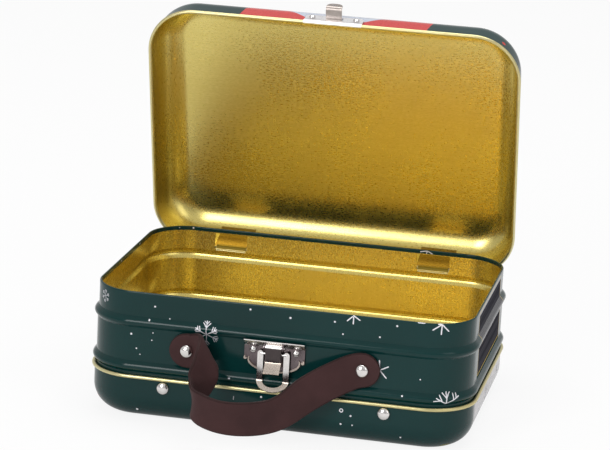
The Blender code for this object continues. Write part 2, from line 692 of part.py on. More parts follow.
def build_handle(looks):
    strap = add_object("handle_strap", strap_shape(), looks["leather"])
    holes = bmesh.new()
    for side in (-1, 1):
        centre = (side * HANDLE_SPAN / 2, HANDLE_Z)
        round_bar(holes, "Y", centre, LARGE_RIVET[2] + GAP, STRAP_Y - 5 * MM, STRAP_Y + 5 * MM)
    boolean(strap, helper("strap_holes", holes), "DIFFERENCE")
    face = STRAP_Y - STRAP_THICKNESS / 2
    grip = STRAP_THICKNESS + STRAP_STANDOFF + SHEET
    for side, side_name in ((-1, "left"), (1, "right")):
        centre = (side * HANDLE_SPAN / 2, HANDLE_Z)
        shape = rivet_shape(centre, -1, LARGE_RIVET, face, grip)
        add_object(f"handle_rivet_{side_name}", shape, looks["nickel"])


def build_latch(looks):
    plate = add_object("latch_plate", latch_plate_shape(), looks["nickel"])
    boolean(plate, helper("plate_trim", latch_plate_trim()), "UNION")
    boolean(plate, helper("plate_ears", latch_ears()), "UNION")
    boolean(plate, helper("plate_holes", latch_plate_cutters()), "DIFFERENCE")
    grip = PLATE_THICKNESS + GAP + SHEET
    for side, side_name in ((-1, "left"), (1, "right")):
        centre = (side * LATCH_RIVET_SPREAD, PLATE_TOP - LATCH_RIVET_DROP)
        shape = rivet_shape(centre, -1, SMALL_RIVET, PLATE_FACE, grip)
        add_object(f"latch_rivet_{side_name}", shape, looks["nickel"])
    reach = EAR_INNER + EAR_THICKNESS + 0.4 * MM
    pin = round_bar(bmesh.new(), "X", (PIN_Y, PIN_Z), PIN_RADIUS, -reach, reach)
    add_object("latch_pin", pin, looks["nickel"], (0.0, PIN_Y, PIN_Z))
    lever = add_object("latch_lever", lever_shape(), looks["nickel"], (0.0, PIN_Y, PIN_Z))
    boolean(lever, helper("lever_cheeks", lever_cheeks()), "UNION")
    holes = round_bar(bmesh.new(), "X", (BAIL_Y, BAIL_Z), BAIL_PIVOT_RADIUS + GAP, -LEVER_WIDTH, LEVER_WIDTH)
    boolean(lever, helper("lever_holes", holes), "DIFFERENCE")
    bail = add_object("latch_bail", bail_shape(), looks["nickel"], (0.0, BAIL_Y, BAIL_Z), lever)
    boolean(bail, helper("bail_pivots", bail_pivots()), "UNION")


def main():
    for old in list(bpy.data.objects):
        bpy.data.objects.remove(old, do_unlink=True)
    looks = {
        "print": material("printed_tinplate", (0.014, 0.045, 0.040), 0.25, 0.2),
        "nickel": material("nickel_plate", (0.62, 0.60, 0.57), 0.22, 1.0),
        "leather": material("brown_leather", (0.055, 0.028, 0.026), 0.55, 0.0),
    }
    build_body(looks)
    build_lid(looks)
    build_handle(looks)
    build_latch(looks)


main()
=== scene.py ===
import math
import random

import bmesh
import bpy
from mathutils import Matrix, Vector


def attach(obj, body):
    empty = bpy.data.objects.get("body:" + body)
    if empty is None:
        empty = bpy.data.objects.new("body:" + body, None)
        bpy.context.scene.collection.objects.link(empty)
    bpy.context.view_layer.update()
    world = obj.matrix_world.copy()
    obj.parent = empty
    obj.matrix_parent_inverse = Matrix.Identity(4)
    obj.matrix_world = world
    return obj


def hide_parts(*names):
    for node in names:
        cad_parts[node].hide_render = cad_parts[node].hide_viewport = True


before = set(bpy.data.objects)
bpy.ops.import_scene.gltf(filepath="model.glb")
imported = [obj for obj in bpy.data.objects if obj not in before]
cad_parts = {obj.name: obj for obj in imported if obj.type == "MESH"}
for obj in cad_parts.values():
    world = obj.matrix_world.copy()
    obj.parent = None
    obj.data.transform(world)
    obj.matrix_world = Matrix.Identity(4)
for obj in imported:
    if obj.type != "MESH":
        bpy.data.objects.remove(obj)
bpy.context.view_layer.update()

MM = 0.001

# Sizes shared with the solids, in millimetres until a mesh is made
WIDTH = 200.0
DEPTH = 141.0
CORNER = 24.0
SHEET = 0.5
BAND_BOTTOM = 14.5
LOWER_BEAD = 26.3
UPPER_BEAD = 50.2
BEAD_HEIGHT = 6.0
BEAD_DEPTH = 1.9
NECK_INSET = 0.6
BODY_TOP = 69.0
HEM_HEIGHT = 2.2
HEM_THICKNESS = 1.2
STAMP_OFFSET = 0.3
STAMP_DEPTH = 24.9
FILLET = 14.0
ROLL = 1.0
ROLL_OUTSET = 0.9
HINGE = (0.0, 71.7, 57.4)
LID_TOP = 81.3
LID_ANGLE = math.radians(-76.0)
HINGE_SPREAD = 57.5
TONGUE_WIDTH = 17.0
WINDOW_WIDTH = 18.3
WINDOW_LOW = 57.5
WINDOW_HIGH = 66.3
FRONT = -DEPTH / 2
STRAP_Y = -72.1
STRAP_Z = 41.25
STRAP_HALF_SPAN = 45.8
STRAP_WIDTH = 18.4
STRAP_THICKNESS = 2.0
PIN = (-73.7, 48.3)
BAIL = (-73.6, 44.9)
PLATE_FACE = -71.6
PLATE_BACK = -70.8
PLATE_TOP = 49.4
PLATE_HALF = 15.8
PLATE_RIVET_X = 11.2
PLATE_RIVET_Z = PLATE_TOP - 3.4
KEEPER_FACE = -72.3
KEEPER_LOW = 58.7
KEEPER_HEIGHT = 7.2
KEEPER_RIVET_X = 12.0
KEEPER_RIVET_Z = KEEPER_LOW + 3.6
TRAY_RIVET_X = 58.0
TRAY_RIVET_Z = 19.3

# Half the length of the plaid panel, and how far print stands proud of the wall
PANEL_HALF = 38.5
INK = 0.03


# Small node helpers

def new_material(name):
    made = bpy.data.materials.new(name)
    made.use_nodes = True
    tree = made.node_tree
    return made, tree, tree.nodes["Principled BSDF"]


def node(tree, kind, **values):
    """A new node. Each value goes to the input of that name, or else to the node's own setting."""
    made = tree.nodes.new(kind)
    for key, value in values.items():
        if key in made.inputs:
            made.inputs[key].default_value = value
        else:
            setattr(made, key, value)
    return made


def math_node(tree, operation, first, second=None):
    made = tree.nodes.new("ShaderNodeMath")
    made.operation = operation
    for index, value in enumerate((first, second)):
        if value is None:
            continue
        if isinstance(value, (int, float)):
            made.inputs[index].default_value = value
        else:
            tree.links.new(value, made.inputs[index])
    return made.outputs[0]


def times(tree, first, second):
    return math_node(tree, "MULTIPLY", first, second)


def plus(tree, first, second):
    return math_node(tree, "ADD", first, second)


def mapped(tree, source, scale, rotation=(0.0, 0.0, 0.0)):
    """Texture coordinates of one kind, scaled. Object coordinates are in metres."""
    coords = tree.nodes.new("ShaderNodeTexCoord")
    mapping = tree.nodes.new("ShaderNodeMapping")
    mapping.inputs["Scale"].default_value = scale
    mapping.inputs["Rotation"].default_value = rotation
    tree.links.new(coords.outputs[source], mapping.inputs["Vector"])
    return mapping.outputs[0]


def noise(tree, vector, scale=1.0, detail=3.0, roughness=0.55):
    made = node(tree, "ShaderNodeTexNoise", Scale=scale, Detail=detail, Roughness=roughness)
    tree.links.new(vector, made.inputs["Vector"])
    return made.outputs["Fac"]


def remap(tree, value, low, high, out_low, out_high):
    """Maps low..high to out_low..out_high, and holds the ends."""
    made = tree.nodes.new("ShaderNodeMapRange")
    tree.links.new(value, made.inputs["Value"])
    for key, number in (("From Min", low), ("From Max", high), ("To Min", out_low), ("To Max", out_high)):
        made.inputs[key].default_value = number
    return made.outputs[0]


def mix_colour(tree, factor, first, second, blend="MIX"):
    made = tree.nodes.new("ShaderNodeMix")
    made.data_type = "RGBA"
    made.blend_type = blend
    for index, value in ((0, factor), (6, first), (7, second)):
        if isinstance(value, (int, float)):
            made.inputs[index].default_value = value
        elif isinstance(value, tuple):
            made.inputs[index].default_value = (*value, 1.0)
        else:
            tree.links.new(value, made.inputs[index])
    return made.outputs[2]


def bump(tree, shader, heights):
    """Chains bumps: each is (value, strength, distance in metres)."""
    last = None
    for value, strength, distance in heights:
        made = node(tree, "ShaderNodeBump", Strength=strength, Distance=distance)
        tree.links.new(value, made.inputs["Height"])
        if last:
            tree.links.new(last, made.inputs["Normal"])
        last = made.outputs[0]
    tree.links.new(last, shader.inputs["Normal"])


def object_axes(tree):
    coords = tree.nodes.new("ShaderNodeTexCoord")
    split = tree.nodes.new("ShaderNodeSeparateXYZ")
    tree.links.new(coords.outputs["Object"], split.inputs[0])
    return split.outputs


def inside(tree, value, low, high):
    """1 where value lies between low and high, with both in metres."""
    above = math_node(tree, "GREATER_THAN", value, low)
    below = math_node(tree, "LESS_THAN", value, high)
    return both(tree, above, below)


def both(tree, first, second):
    """1 where two masks are 1."""
    return times(tree, first, second)


# Materials

def gold_lacquer(name, base, dark, roughness, grain=1.0, upright=False, painted_shade_places=None):
    """Gold-lacquered tinplate. Its short rolling grain runs along the first UV direction, or up the wall.

    The last argument, if given, marks places that get painted shade: a darker lacquer colour standing in for
    shade.
    """
    made, tree, shader = new_material(name)
    scales = [(520.0, 1400.0), (1900.0, 2900.0), (60.0, 1000.0)]
    vectors = [mapped(tree, "UV", (b, a, 1.0) if upright else (a, b, 1.0)) for a, b in scales]
    fine = noise(tree, vectors[0], detail=2.0)
    finer = noise(tree, vectors[1], detail=1.0)
    streak = noise(tree, vectors[2], detail=2.0)
    cloud = noise(tree, mapped(tree, "Object", (14.0, 14.0, 14.0)), detail=3.0)
    grain_tone = remap(tree, fine, 0.28, 0.66, 0.0, 0.7)
    streak_tone = remap(tree, streak, 0.3, 0.7, 0.0, 0.3)
    colour = mix_colour(tree, plus(tree, grain_tone, streak_tone), dark, base)
    warm = mix_colour(tree, remap(tree, cloud, 0.35, 0.7, 0.0, 0.22), colour, (0.62, 0.45, 0.08))
    # Painted shade: the marked places get a darker lacquer colour in place of shade.
    if painted_shade_places:
        warm = mix_colour(tree, painted_shade_places(tree), warm, (0.3, 0.19, 0.03))
    tree.links.new(warm, shader.inputs["Base Color"])
    rough = plus(tree, remap(tree, fine, 0.3, 0.7, roughness - 0.03, roughness + 0.05),
                 remap(tree, cloud, 0.3, 0.7, -0.03, 0.04))
    tree.links.new(rough, shader.inputs["Roughness"])
    shader.inputs["Metallic"].default_value = 1.0
    heights = (fine, 0.5 * grain, 0.00003), (finer, 0.4 * grain, 0.000014), (streak, 0.1 * grain, 0.00003)
    bump(tree, shader, heights)
    return made


def window_painted_shade(tree):
    """Painted shade on the lid's inner back wall behind the two hinge windows."""
    axes = object_axes(tree)
    beside = inside(tree, math_node(tree, "ABSOLUTE", axes[0]), 0.0475, 0.0675)
    return both(tree, beside, math_node(tree, "GREATER_THAN", axes[1], 0.068))


def green_print(name, panel=None, specular=0.24):
    """Glossy dark green print over tinplate. panel adds a larger printed area to it."""
    made, tree, shader = new_material(name)
    cloud = noise(tree, mapped(tree, "Object", (9.0, 9.0, 9.0)), detail=2.0)
    ink = noise(tree, mapped(tree, "Object", (2600.0, 2600.0, 2600.0)), detail=1.0)
    clouded = remap(tree, cloud, 0.3, 0.7, 0.0, 1.0)
    colour = mix_colour(tree, clouded, (0.0016, 0.0225, 0.0215), (0.0028, 0.0335, 0.0325))
    colour = mix_colour(tree, remap(tree, ink, 0.35, 0.75, 0.0, 0.3), colour, (0.005, 0.042, 0.04))
    if panel:
        colour = panel(tree, colour)
    tree.links.new(colour, shader.inputs["Base Color"])
    peel = noise(tree, mapped(tree, "Object", (420.0, 420.0, 420.0)), detail=2.0)
    sag = noise(tree, mapped(tree, "Object", (26.0, 26.0, 34.0)), detail=1.0)
    tree.links.new(remap(tree, peel, 0.2, 0.8, 0.1, 0.17), shader.inputs["Roughness"])
    shader.inputs["Specular IOR Level"].default_value = specular
    bump(tree, shader, ((sag, 0.5, 0.0009), (peel, 0.1, 0.00006)))
    return made


def side_plaid(tree, base):
    """A dark grey plaid panel with a thin gold border on the right side of the body."""
    axes = object_axes(tree)
    on_side = math_node(tree, "GREATER_THAN", axes[0], 0.0965)
    panel = both(tree, inside(tree, axes[1], -0.0378, 0.0378), inside(tree, axes[2], 0.0345, 0.0672))
    border = both(tree, inside(tree, axes[1], -0.0386, 0.0386), inside(tree, axes[2], 0.0337, 0.068))
    tone = None
    threads = (axes[1], 0.0017, 0.36, 0.24), (axes[2], 0.0034, 0.24, 0.16)
    for axis, pitch, wide_share, thin_share in threads:
        wide = math_node(tree, "PINGPONG", axis, pitch)
        thin = math_node(tree, "PINGPONG", axis, 0.4 * pitch)
        wide = math_node(tree, "GREATER_THAN", wide, 0.5 * pitch)
        thin = math_node(tree, "GREATER_THAN", thin, 0.3 * pitch)
        bands = plus(tree, times(tree, wide, wide_share), times(tree, thin, thin_share))
        tone = plus(tree, tone, bands) if tone else bands
    check = mix_colour(tree, tone, (0.02, 0.0205, 0.027), (0.105, 0.102, 0.116))
    with_line = mix_colour(tree, both(tree, on_side, border), base, (0.46, 0.34, 0.13))
    return mix_colour(tree, both(tree, on_side, panel), with_line, check)


def tray_side_painted_reflection(tree, base):
    """A pale grey patch with a fine weave on the right side of the tray: painted reflection of the floor,
    which fades out towards the rounded corners.
    """
    axes = object_axes(tree)
    weave = noise(tree, mapped(tree, "Object", (1500.0, 1500.0, 1500.0)), detail=1.0)
    pale = mix_colour(tree, remap(tree, weave, 0.3, 0.7, 0.0, 1.0), (0.56, 0.54, 0.56), (0.70, 0.68, 0.69))
    across = remap(tree, math_node(tree, "ABSOLUTE", axes[1]), 0.042, 0.05, 1.0, 0.0)
    side = math_node(tree, "GREATER_THAN", axes[0], 0.095)
    area = both(tree, side, inside(tree, axes[2], 0.003, 0.0225))
    return mix_colour(tree, both(tree, across, area), base, pale)


def lid_band(tree, base):
    """A broad red band across the lid, thinly edged in gold on its top, and a pale shape at the keeper."""
    axes = object_axes(tree)
    slant = times(tree, math_node(tree, "SUBTRACT", axes[2], 0.0813), 0.2)
    across = math_node(tree, "SUBTRACT", axes[0], slant)
    on_top = math_node(tree, "GREATER_THAN", axes[2], 0.08)
    edge = both(tree, inside(tree, across, -0.0489, 0.0556), on_top)
    red_area = inside(tree, across, -0.0477, 0.0544)
    with_line = mix_colour(tree, edge, base, (0.42, 0.3, 0.08))
    weave = noise(tree, mapped(tree, "Object", (900.0, 900.0, 900.0)), detail=1.0)
    woven = remap(tree, weave, 0.3, 0.7, 0.0, 1.0)
    shade = mix_colour(tree, woven, (0.50, 0.036, 0.034), (0.60, 0.052, 0.048))
    banded = mix_colour(tree, red_area, with_line, shade)
    beside = math_node(tree, "SUBTRACT", math_node(tree, "ABSOLUTE", axes[0]), 0.0158)
    slope = plus(tree, times(tree, beside, 0.75), 0.064)
    above = math_node(tree, "GREATER_THAN", axes[2], slope)
    front = math_node(tree, "LESS_THAN", axes[1], -0.062)
    pale_shape = both(tree, both(tree, inside(tree, beside, -0.02, 0.0125), above), front)
    return mix_colour(tree, pale_shape, banded, (0.50, 0.54, 0.63))


def opaque_ink(name, colour):
    """Opaque printing ink of one colour, with a fine grain."""
    made, tree, shader = new_material(name)
    grain = noise(tree, mapped(tree, "Object", (3200.0, 3200.0, 3200.0)), detail=1.0)
    pale = tuple(0.88 * c for c in colour)
    grained = mix_colour(tree, remap(tree, grain, 0.3, 0.7, 0.0, 1.0), pale, colour)
    tree.links.new(grained, shader.inputs["Base Color"])
    tree.links.new(remap(tree, grain, 0.2, 0.8, 0.18, 0.3), shader.inputs["Roughness"])
    shader.inputs["Specular IOR Level"].default_value = 0.3
    return made


def nickel(name, tone, roughness, tint=0.72):
    """Nickel plate with fine hairlines, small marks and a little tarnish."""
    made, tree, shader = new_material(name)
    hair = noise(tree, mapped(tree, "Object", (5200.0, 900.0, 420.0), (0.3, 0.2, 0.5)), detail=2.0)
    marks = node(tree, "ShaderNodeTexVoronoi", Scale=1.0)
    tree.links.new(mapped(tree, "Object", (620.0, 620.0, 620.0)), marks.inputs["Vector"])
    cloud = noise(tree, mapped(tree, "Object", (160.0, 160.0, 160.0)), detail=3.0)
    dull = tuple(c * tint for c in tone)
    colour = mix_colour(tree, remap(tree, cloud, 0.35, 0.75, 0.0, 0.7), tone, dull)
    tree.links.new(colour, shader.inputs["Base Color"])
    rough = plus(tree, remap(tree, hair, 0.3, 0.7, roughness - 0.03, roughness + 0.07),
                 remap(tree, marks.outputs["Distance"], 0.0, 0.25, 0.1, 0.0))
    tree.links.new(rough, shader.inputs["Roughness"])
    shader.inputs["Metallic"].default_value = 1.0
    bump(tree, shader, ((hair, 0.12, 0.00002), (cloud, 0.15, 0.00008)))
    return made


def brown_leather(name, face, pore_depth):
    """Smooth finished leather: fine pores, a soft pebble, and slightly paler worn areas."""
    made, tree, shader = new_material(name)
    cells = node(tree, "ShaderNodeTexVoronoi", Scale=1.0, feature="DISTANCE_TO_EDGE")
    tree.links.new(mapped(tree, "Object", (1500.0, 1500.0, 1500.0)), cells.inputs["Vector"])
    pores = noise(tree, mapped(tree, "Object", (4200.0, 4200.0, 4200.0)), detail=2.0)
    cloud = noise(tree, mapped(tree, "Object", (55.0, 55.0, 55.0)), detail=4.0)
    lighter = tuple(c * 1.18 for c in face)
    darker = tuple(c * 0.8 for c in face)
    colour = mix_colour(tree, remap(tree, cloud, 0.3, 0.7, 0.0, 1.0), darker, lighter)
    colour = mix_colour(tree, remap(tree, cells.outputs["Distance"], 0.0, 0.09, 0.35, 0.0), colour, darker)
    tree.links.new(colour, shader.inputs["Base Color"])
    tree.links.new(remap(tree, cloud, 0.25, 0.75, 0.5, 0.62), shader.inputs["Roughness"])
    shader.inputs["Specular IOR Level"].default_value = 0.12
    shader.inputs["Sheen Weight"].default_value = 0.03
    creases = remap(tree, cells.outputs["Distance"], 0.0, 0.12, 0.0, 1.0)
    bump(tree, shader, ((creases, pore_depth, 0.00005), (pores, 0.25, 0.00003), (cloud, 0.25, 0.0003)))
    return made


GOLD = (0.80, 0.67, 0.25)
GOLD_DARK = (0.66, 0.54, 0.15)
gold = gold_lacquer("gold_lacquer", GOLD, GOLD_DARK, 0.28, 0.85)
gold_wall = gold_lacquer("gold_lacquer_wall", (0.79, 0.65, 0.23), (0.70, 0.56, 0.16), 0.26, 0.35, True)
# The lid's lacquer carries painted shade behind the hinge windows.
gold_lid = gold_lacquer("gold_lacquer_lid", GOLD, GOLD_DARK, 0.28, 0.85, painted_shade_places=window_painted_shade)
gold_rim = gold_lacquer("gold_rim", (0.70, 0.65, 0.38), (0.60, 0.53, 0.27), 0.32, 0.25)
# Painted shade: the hinge tongues' gold is far darker than the lacquer, standing in for the shade inside the
# windows.
gold_tongue_painted_shade = gold_lacquer("gold_tongue_painted_shade", (0.27, 0.195, 0.035), (0.2, 0.14, 0.022), 0.36, 0.5)
# The tray's green carries a painted floor reflection on its right side.
green_tray = green_print("green_print_tray", tray_side_painted_reflection)
green_body = green_print("green_print_body", side_plaid)
side_panel = green_print("side_panel_print", side_plaid, 0.0)
green_lid = green_print("green_print_lid", lid_band, 0.4)
white = opaque_ink("print_white", (0.86, 0.85, 0.89))
thin_white = opaque_ink("print_white_thin", (0.50, 0.50, 0.53))
red = opaque_ink("print_red", (0.58, 0.045, 0.036))
olive = opaque_ink("print_olive", (0.26, 0.25, 0.05))
bright = nickel("nickel_bright", (0.80, 0.77, 0.75), 0.14)
# Painted reflection: the latch plate's nickel is made dark to stand in for the dark strap and shade it
# reflects.
plate_metal_painted_dark = nickel("nickel_plate", (0.17, 0.14, 0.145), 0.2, 0.5)
# Painted reflection: the lever's nickel is made near black to stand in for the strap it reflects.
lever_metal_painted_dark = nickel("nickel_lever_painted_dark", (0.085, 0.07, 0.07), 0.17, 0.7)
pale_metal = nickel("nickel_pale", (0.88, 0.86, 0.87), 0.3, 0.85)
hook_metal = nickel("nickel_hook", (0.42, 0.37, 0.34), 0.3, 0.7)
# Painted reflection: a beige nickel standing in for the warm gold lid reflected in the lever's lip, the
# bail's bow and the plate's trim.
warm_reflection_metal = nickel("nickel_painted_warm_reflection", (0.62, 0.53, 0.46), 0.26, 0.85)
leather = brown_leather("leather_face", (0.053, 0.0235, 0.0235), 0.3)
leather_edge = brown_leather("leather_edge", (0.031, 0.0135, 0.013), 0.7)


# Mesh helpers. Every piece is made in millimetres and scaled to metres once.

def new_object(name, shape, materials=()):
    """An object made of a shape in millimetres, which is used up."""
    bmesh.ops.recalc_face_normals(shape, faces=shape.faces)
    for v in shape.verts:
        v.co *= MM
    mesh = bpy.data.meshes.new(name)
    shape.to_mesh(mesh)
    shape.free()
    for look in materials:
        mesh.materials.append(look)
    mesh.shade_smooth()
    made = bpy.data.objects.new(name, mesh)
    bpy.context.scene.collection.objects.link(made)
    return made


def finish_piece(name, shape, materials, body, replaces, lid=False, sharp=32.0, bevel=0.0):
    piece = new_object(name, shape, materials)
    piece.data.set_sharp_from_angle(angle=math.radians(sharp))
    if lid:
        pivot = Vector(HINGE) * MM
        turned = Matrix.Rotation(LID_ANGLE, 4, "X")
        piece.matrix_world = Matrix.Translation(pivot) @ turned @ Matrix.Translation(-pivot)
    if bevel:
        add_bevel(piece, bevel)
    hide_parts(*replaces)
    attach(piece, body)
    return piece


def add_bevel(piece, width):
    step = piece.modifiers.new("edges", "BEVEL")
    step.width = width * MM
    step.segments = 2
    step.limit_method = "ANGLE"
    step.angle_limit = math.radians(40.0)
    step.harden_normals = True


def cut(piece, tools):
    """Applies Booleans to a piece: tools is a list of (operation, tool object)."""
    for operation, tool in tools:
        step = piece.modifiers.new(tool.name, "BOOLEAN")
        step.operation = operation
        step.solver = "EXACT"
        step.object = tool
        step.material_mode = "INDEX"
    bpy.context.view_layer.update()
    graph = bpy.context.evaluated_depsgraph_get()
    finished = piece.evaluated_get(graph)
    result = bpy.data.meshes.new_from_object(finished, preserve_all_data_layers=True, depsgraph=graph)
    for step in list(piece.modifiers):
        if step.type == "BOOLEAN":
            piece.modifiers.remove(step)
    piece.data = result
    for operation, tool in tools:
        bpy.data.objects.remove(tool)
    piece.data.set_sharp_from_angle(angle=math.radians(32.0))


def tool_piece(name, shape, like):
    """A cutter or joiner in the place of the piece it works on."""
    made = new_object(name, shape)
    made.matrix_world = like.matrix_world
    return made


def outline(offset, steps=20):
    """Rounded rectangle as (x, y, distance along) for each point, from the right front corner on."""
    points = []
    radius = CORNER + offset
    run = WIDTH / 2 - CORNER
    arc_run = CORNER * math.pi / 2
    for quarter, (side_x, side_y) in enumerate(((1, -1), (1, 1), (-1, 1), (-1, -1))):
        cx = side_x * (WIDTH / 2 - CORNER)
        cy = side_y * (DEPTH / 2 - CORNER)
        for step in range(steps + 1):
            share = step / steps
            angle = math.radians(90.0 * (quarter - 1 + share))
            x = cx + radius * math.cos(angle)
            y = cy + radius * math.sin(angle)
            points.append((x, y, run + arc_run * share))
        if quarter == 0:
            reach = DEPTH / 2 - CORNER
            for y in (-PANEL_HALF, PANEL_HALF):
                points.append((WIDTH / 2 + offset, y, run + arc_run + reach + y))
        run += arc_run + (DEPTH if quarter % 2 == 0 else WIDTH) - 2 * CORNER
    return points


def arc(centre, radius, start, end, steps):
    turns = [math.radians(start + (end - start) * step / steps) for step in range(steps + 1)]
    return [(centre[0] + radius * math.cos(t), centre[1] + radius * math.sin(t)) for t in turns]


def swept_wall(profile, looks, closed, caps=(0, 0), flip=None, panel_look=None):
    """Sweeps (offset, height) points round the outline. looks gives each strip's material index.

    panel_look, if given, replaces index 0 on the flat strips of the side panel.
    """
    shape = bmesh.new()
    uv = shape.loops.layers.uv.new("grain")
    rings = []
    reach = 0.0
    last = None
    for offset, height in profile:
        if last:
            reach += math.hypot(offset - last[0], height - last[1])
        last = (offset, height)
        z = flip - height if flip else height
        rings.append([(shape.verts.new((x, y, z)), run * MM, reach * MM) for x, y, run in outline(offset)])
    pairs = list(zip(rings, rings[1:]))
    if closed:
        pairs.append((rings[-1], rings[0]))
    total = 2 * (WIDTH + DEPTH - 4 * CORNER) + 2 * math.pi * CORNER
    for index, (low, high) in enumerate(pairs):
        rise = abs(high[0][0].co.z - low[0][0].co.z)
        for i in range(len(low)):
            j = (i + 1) % len(low)
            face = shape.faces.new((low[i][0], low[j][0], high[j][0], high[i][0]))
            face.material_index = looks[index]
            ends = (low[i][0].co, low[j][0].co)
            on_panel = all(end.x > 0 and abs(end.y) < PANEL_HALF + 0.1 for end in ends)
            if panel_look and looks[index] == 0 and rise > 5.0 and on_panel:
                face.material_index = panel_look
            run_end = low[j][1] if j else low[0][1] + total * MM
            for loop, (u, v) in zip(face.loops, ((low[i][1], low[i][2]), (run_end, low[i][2]),
                                                  (run_end, high[i][2]), (low[i][1], high[i][2]))):
                loop[uv].uv = (u, v)
    if not closed:
        for ring, look in ((rings[0], caps[0]), (rings[-1], caps[1])):
            face = shape.faces.new([v for v, _, _ in ring])
            face.material_index = look
            for loop in face.loops:
                loop[uv].uv = (loop.vert.co.x * MM, loop.vert.co.y * MM)
    return shape


def prism(shape, points, axis, low, high):
    """Adds a prism along X, from (y, z) points, or along Y, from (x, z) points."""
    rows = []
    for level in (low, high):
        if axis == "X":
            rows.append([shape.verts.new((level, a, b)) for a, b in points])
        else:
            rows.append([shape.verts.new((a, level, b)) for a, b in points])
    shape.faces.new(rows[0])
    shape.faces.new(rows[1][::-1])
    for i in range(len(points)):
        j = (i + 1) % len(points)
        shape.faces.new((rows[0][i], rows[1][i], rows[1][j], rows[0][j]))
    return shape


def paint(shape, look):
    """Gives every face of the shape one of the piece's materials."""
    for face in shape.faces:
        face.material_index = look


def rectangle(a0, b0, a1, b1):
    return [(a0, b0), (a1, b0), (a1, b1), (a0, b1)]


# Each bead's lower edge, and the wall's offset below and above it
BEADS = ((LOWER_BEAD, 0.0, 0.0), (UPPER_BEAD, 0.0, -NECK_INSET))


def bead_offset(share):
    """A pressed bead: round on top, with a small soft foot on both sides."""
    return BEAD_DEPTH * math.sin(math.pi * share) ** 1.08


# Body band

def band_profile():
    """Points (offset, height) round the wall's section, outside first, and each strip's material."""
    steps = 16
    outer = [(0.0, BAND_BOTTOM), (0.0, LOWER_BEAD - 0.8)]
    for low, base_low, base_high in BEADS:
        for step in range(steps + 1):
            share = step / steps
            base = base_low + (base_high - base_low) * share
            outer.append((base + bead_offset(share), low + BEAD_HEIGHT * share))
    outer.append((-NECK_INSET, BODY_TOP - 3.0))
    half = HEM_THICKNESS / 2
    hem = arc((-NECK_INSET - half, BODY_TOP - half), half, 0.0, 180.0, 10)
    hem_edge = BODY_TOP - HEM_HEIGHT
    hem += [(-NECK_INSET - HEM_THICKNESS, hem_edge), (-NECK_INSET - SHEET, hem_edge)]
    inner = [(offset - SHEET, height) for offset, height in reversed(outer[:-1])]
    looks = [0] * (len(outer) + len(hem) - 1) + [1] * (len(inner) + 1)
    return outer + hem + inner, looks


def make_band():
    """The side wall with its beads and hem, and the two hinge windows cut from it."""
    profile, looks = band_profile()
    shape = swept_wall(profile, looks, True, panel_look=2)
    materials = (green_body, gold_wall, side_panel)
    band = finish_piece("band_printed", shape, materials, "body", ("body_band",))
    holes = bmesh.new()
    for x in (-HINGE_SPREAD, HINGE_SPREAD):
        half = WINDOW_WIDTH / 2
        prism(holes, rectangle(x - half, WINDOW_LOW, x + half, WINDOW_HIGH), "Y", DEPTH / 4, DEPTH / 2 + 5)
    paint(holes, 1)
    cut(band, [("DIFFERENCE", tool_piece("windows", holes, band))])
    return band


def make_tongues():
    """The two strips that curl from the window sills round the lid's rim, with two rolled edges below."""
    shape = bmesh.new()
    axis = HINGE[1:]
    inner_radius = ROLL + 0.3
    outer = arc(axis, inner_radius + SHEET, 145.0, -140.0, 28)
    inner = arc(axis, inner_radius, -140.0, 145.0, 28)
    root = DEPTH / 2 - NECK_INSET - 0.55 * SHEET
    points = outer + inner + [(root, HINGE[2] - 0.8), (root, HINGE[2] + 0.2)]
    wall = DEPTH / 2 - NECK_INSET - SHEET
    for x in (-HINGE_SPREAD, HINGE_SPREAD):
        prism(shape, points, "X", x - TONGUE_WIDTH / 2, x + TONGUE_WIDTH / 2)
    plain = len(shape.faces)
    for x in (-HINGE_SPREAD, HINGE_SPREAD):
        for height, reach in ((WINDOW_LOW - 0.3, 0.22), (WINDOW_LOW - 1.05, 0.34)):
            lip = arc((wall + 0.05, height), reach, 70.0, 290.0, 10)
            prism(shape, lip, "X", x - TONGUE_WIDTH / 2, x + TONGUE_WIDTH / 2)
    shape.faces.ensure_lookup_table()
    for face in shape.faces[plain:]:
        face.material_index = 1
    # The tongues get the painted-shade gold; the rolled edges below the windows keep the rim gold.
    materials = (gold_tongue_painted_shade, gold_rim)
    return finish_piece("hinge_tongues", shape, materials, "body", (), bevel=0.08)


# Tray and lid stampings

def stamping_profile():
    """Points (offset, height) of the tray's section, outside first, and each strip's material."""
    inside_offset = STAMP_OFFSET
    outside = inside_offset + SHEET
    centre = outside - FILLET
    roll = (inside_offset + ROLL_OUTSET, STAMP_DEPTH - ROLL)
    inner_turn = math.degrees(math.acos(ROLL_OUTSET / ROLL))
    outer_turn = math.degrees(math.acos((ROLL_OUTSET - SHEET) / ROLL))
    fillet_steps = 16
    roll_steps = 24
    points = arc((centre, FILLET), FILLET, -90.0, 0.0, fillet_steps)
    points += arc(roll, ROLL, outer_turn - 180.0, 180.0 + inner_turn, roll_steps)
    points += arc((centre, FILLET), FILLET - SHEET, 0.0, -90.0, fillet_steps)
    looks = [0] * (fillet_steps + 1) + [2] * roll_steps + [1] * (fillet_steps + 1)
    return points, looks


def make_tray():
    profile, looks = stamping_profile()
    shape = swept_wall(profile, looks, False, (0, 1))
    materials = (green_tray, gold, gold_rim)
    return finish_piece("tray_printed", shape, materials, "body", ("bottom_tray",))


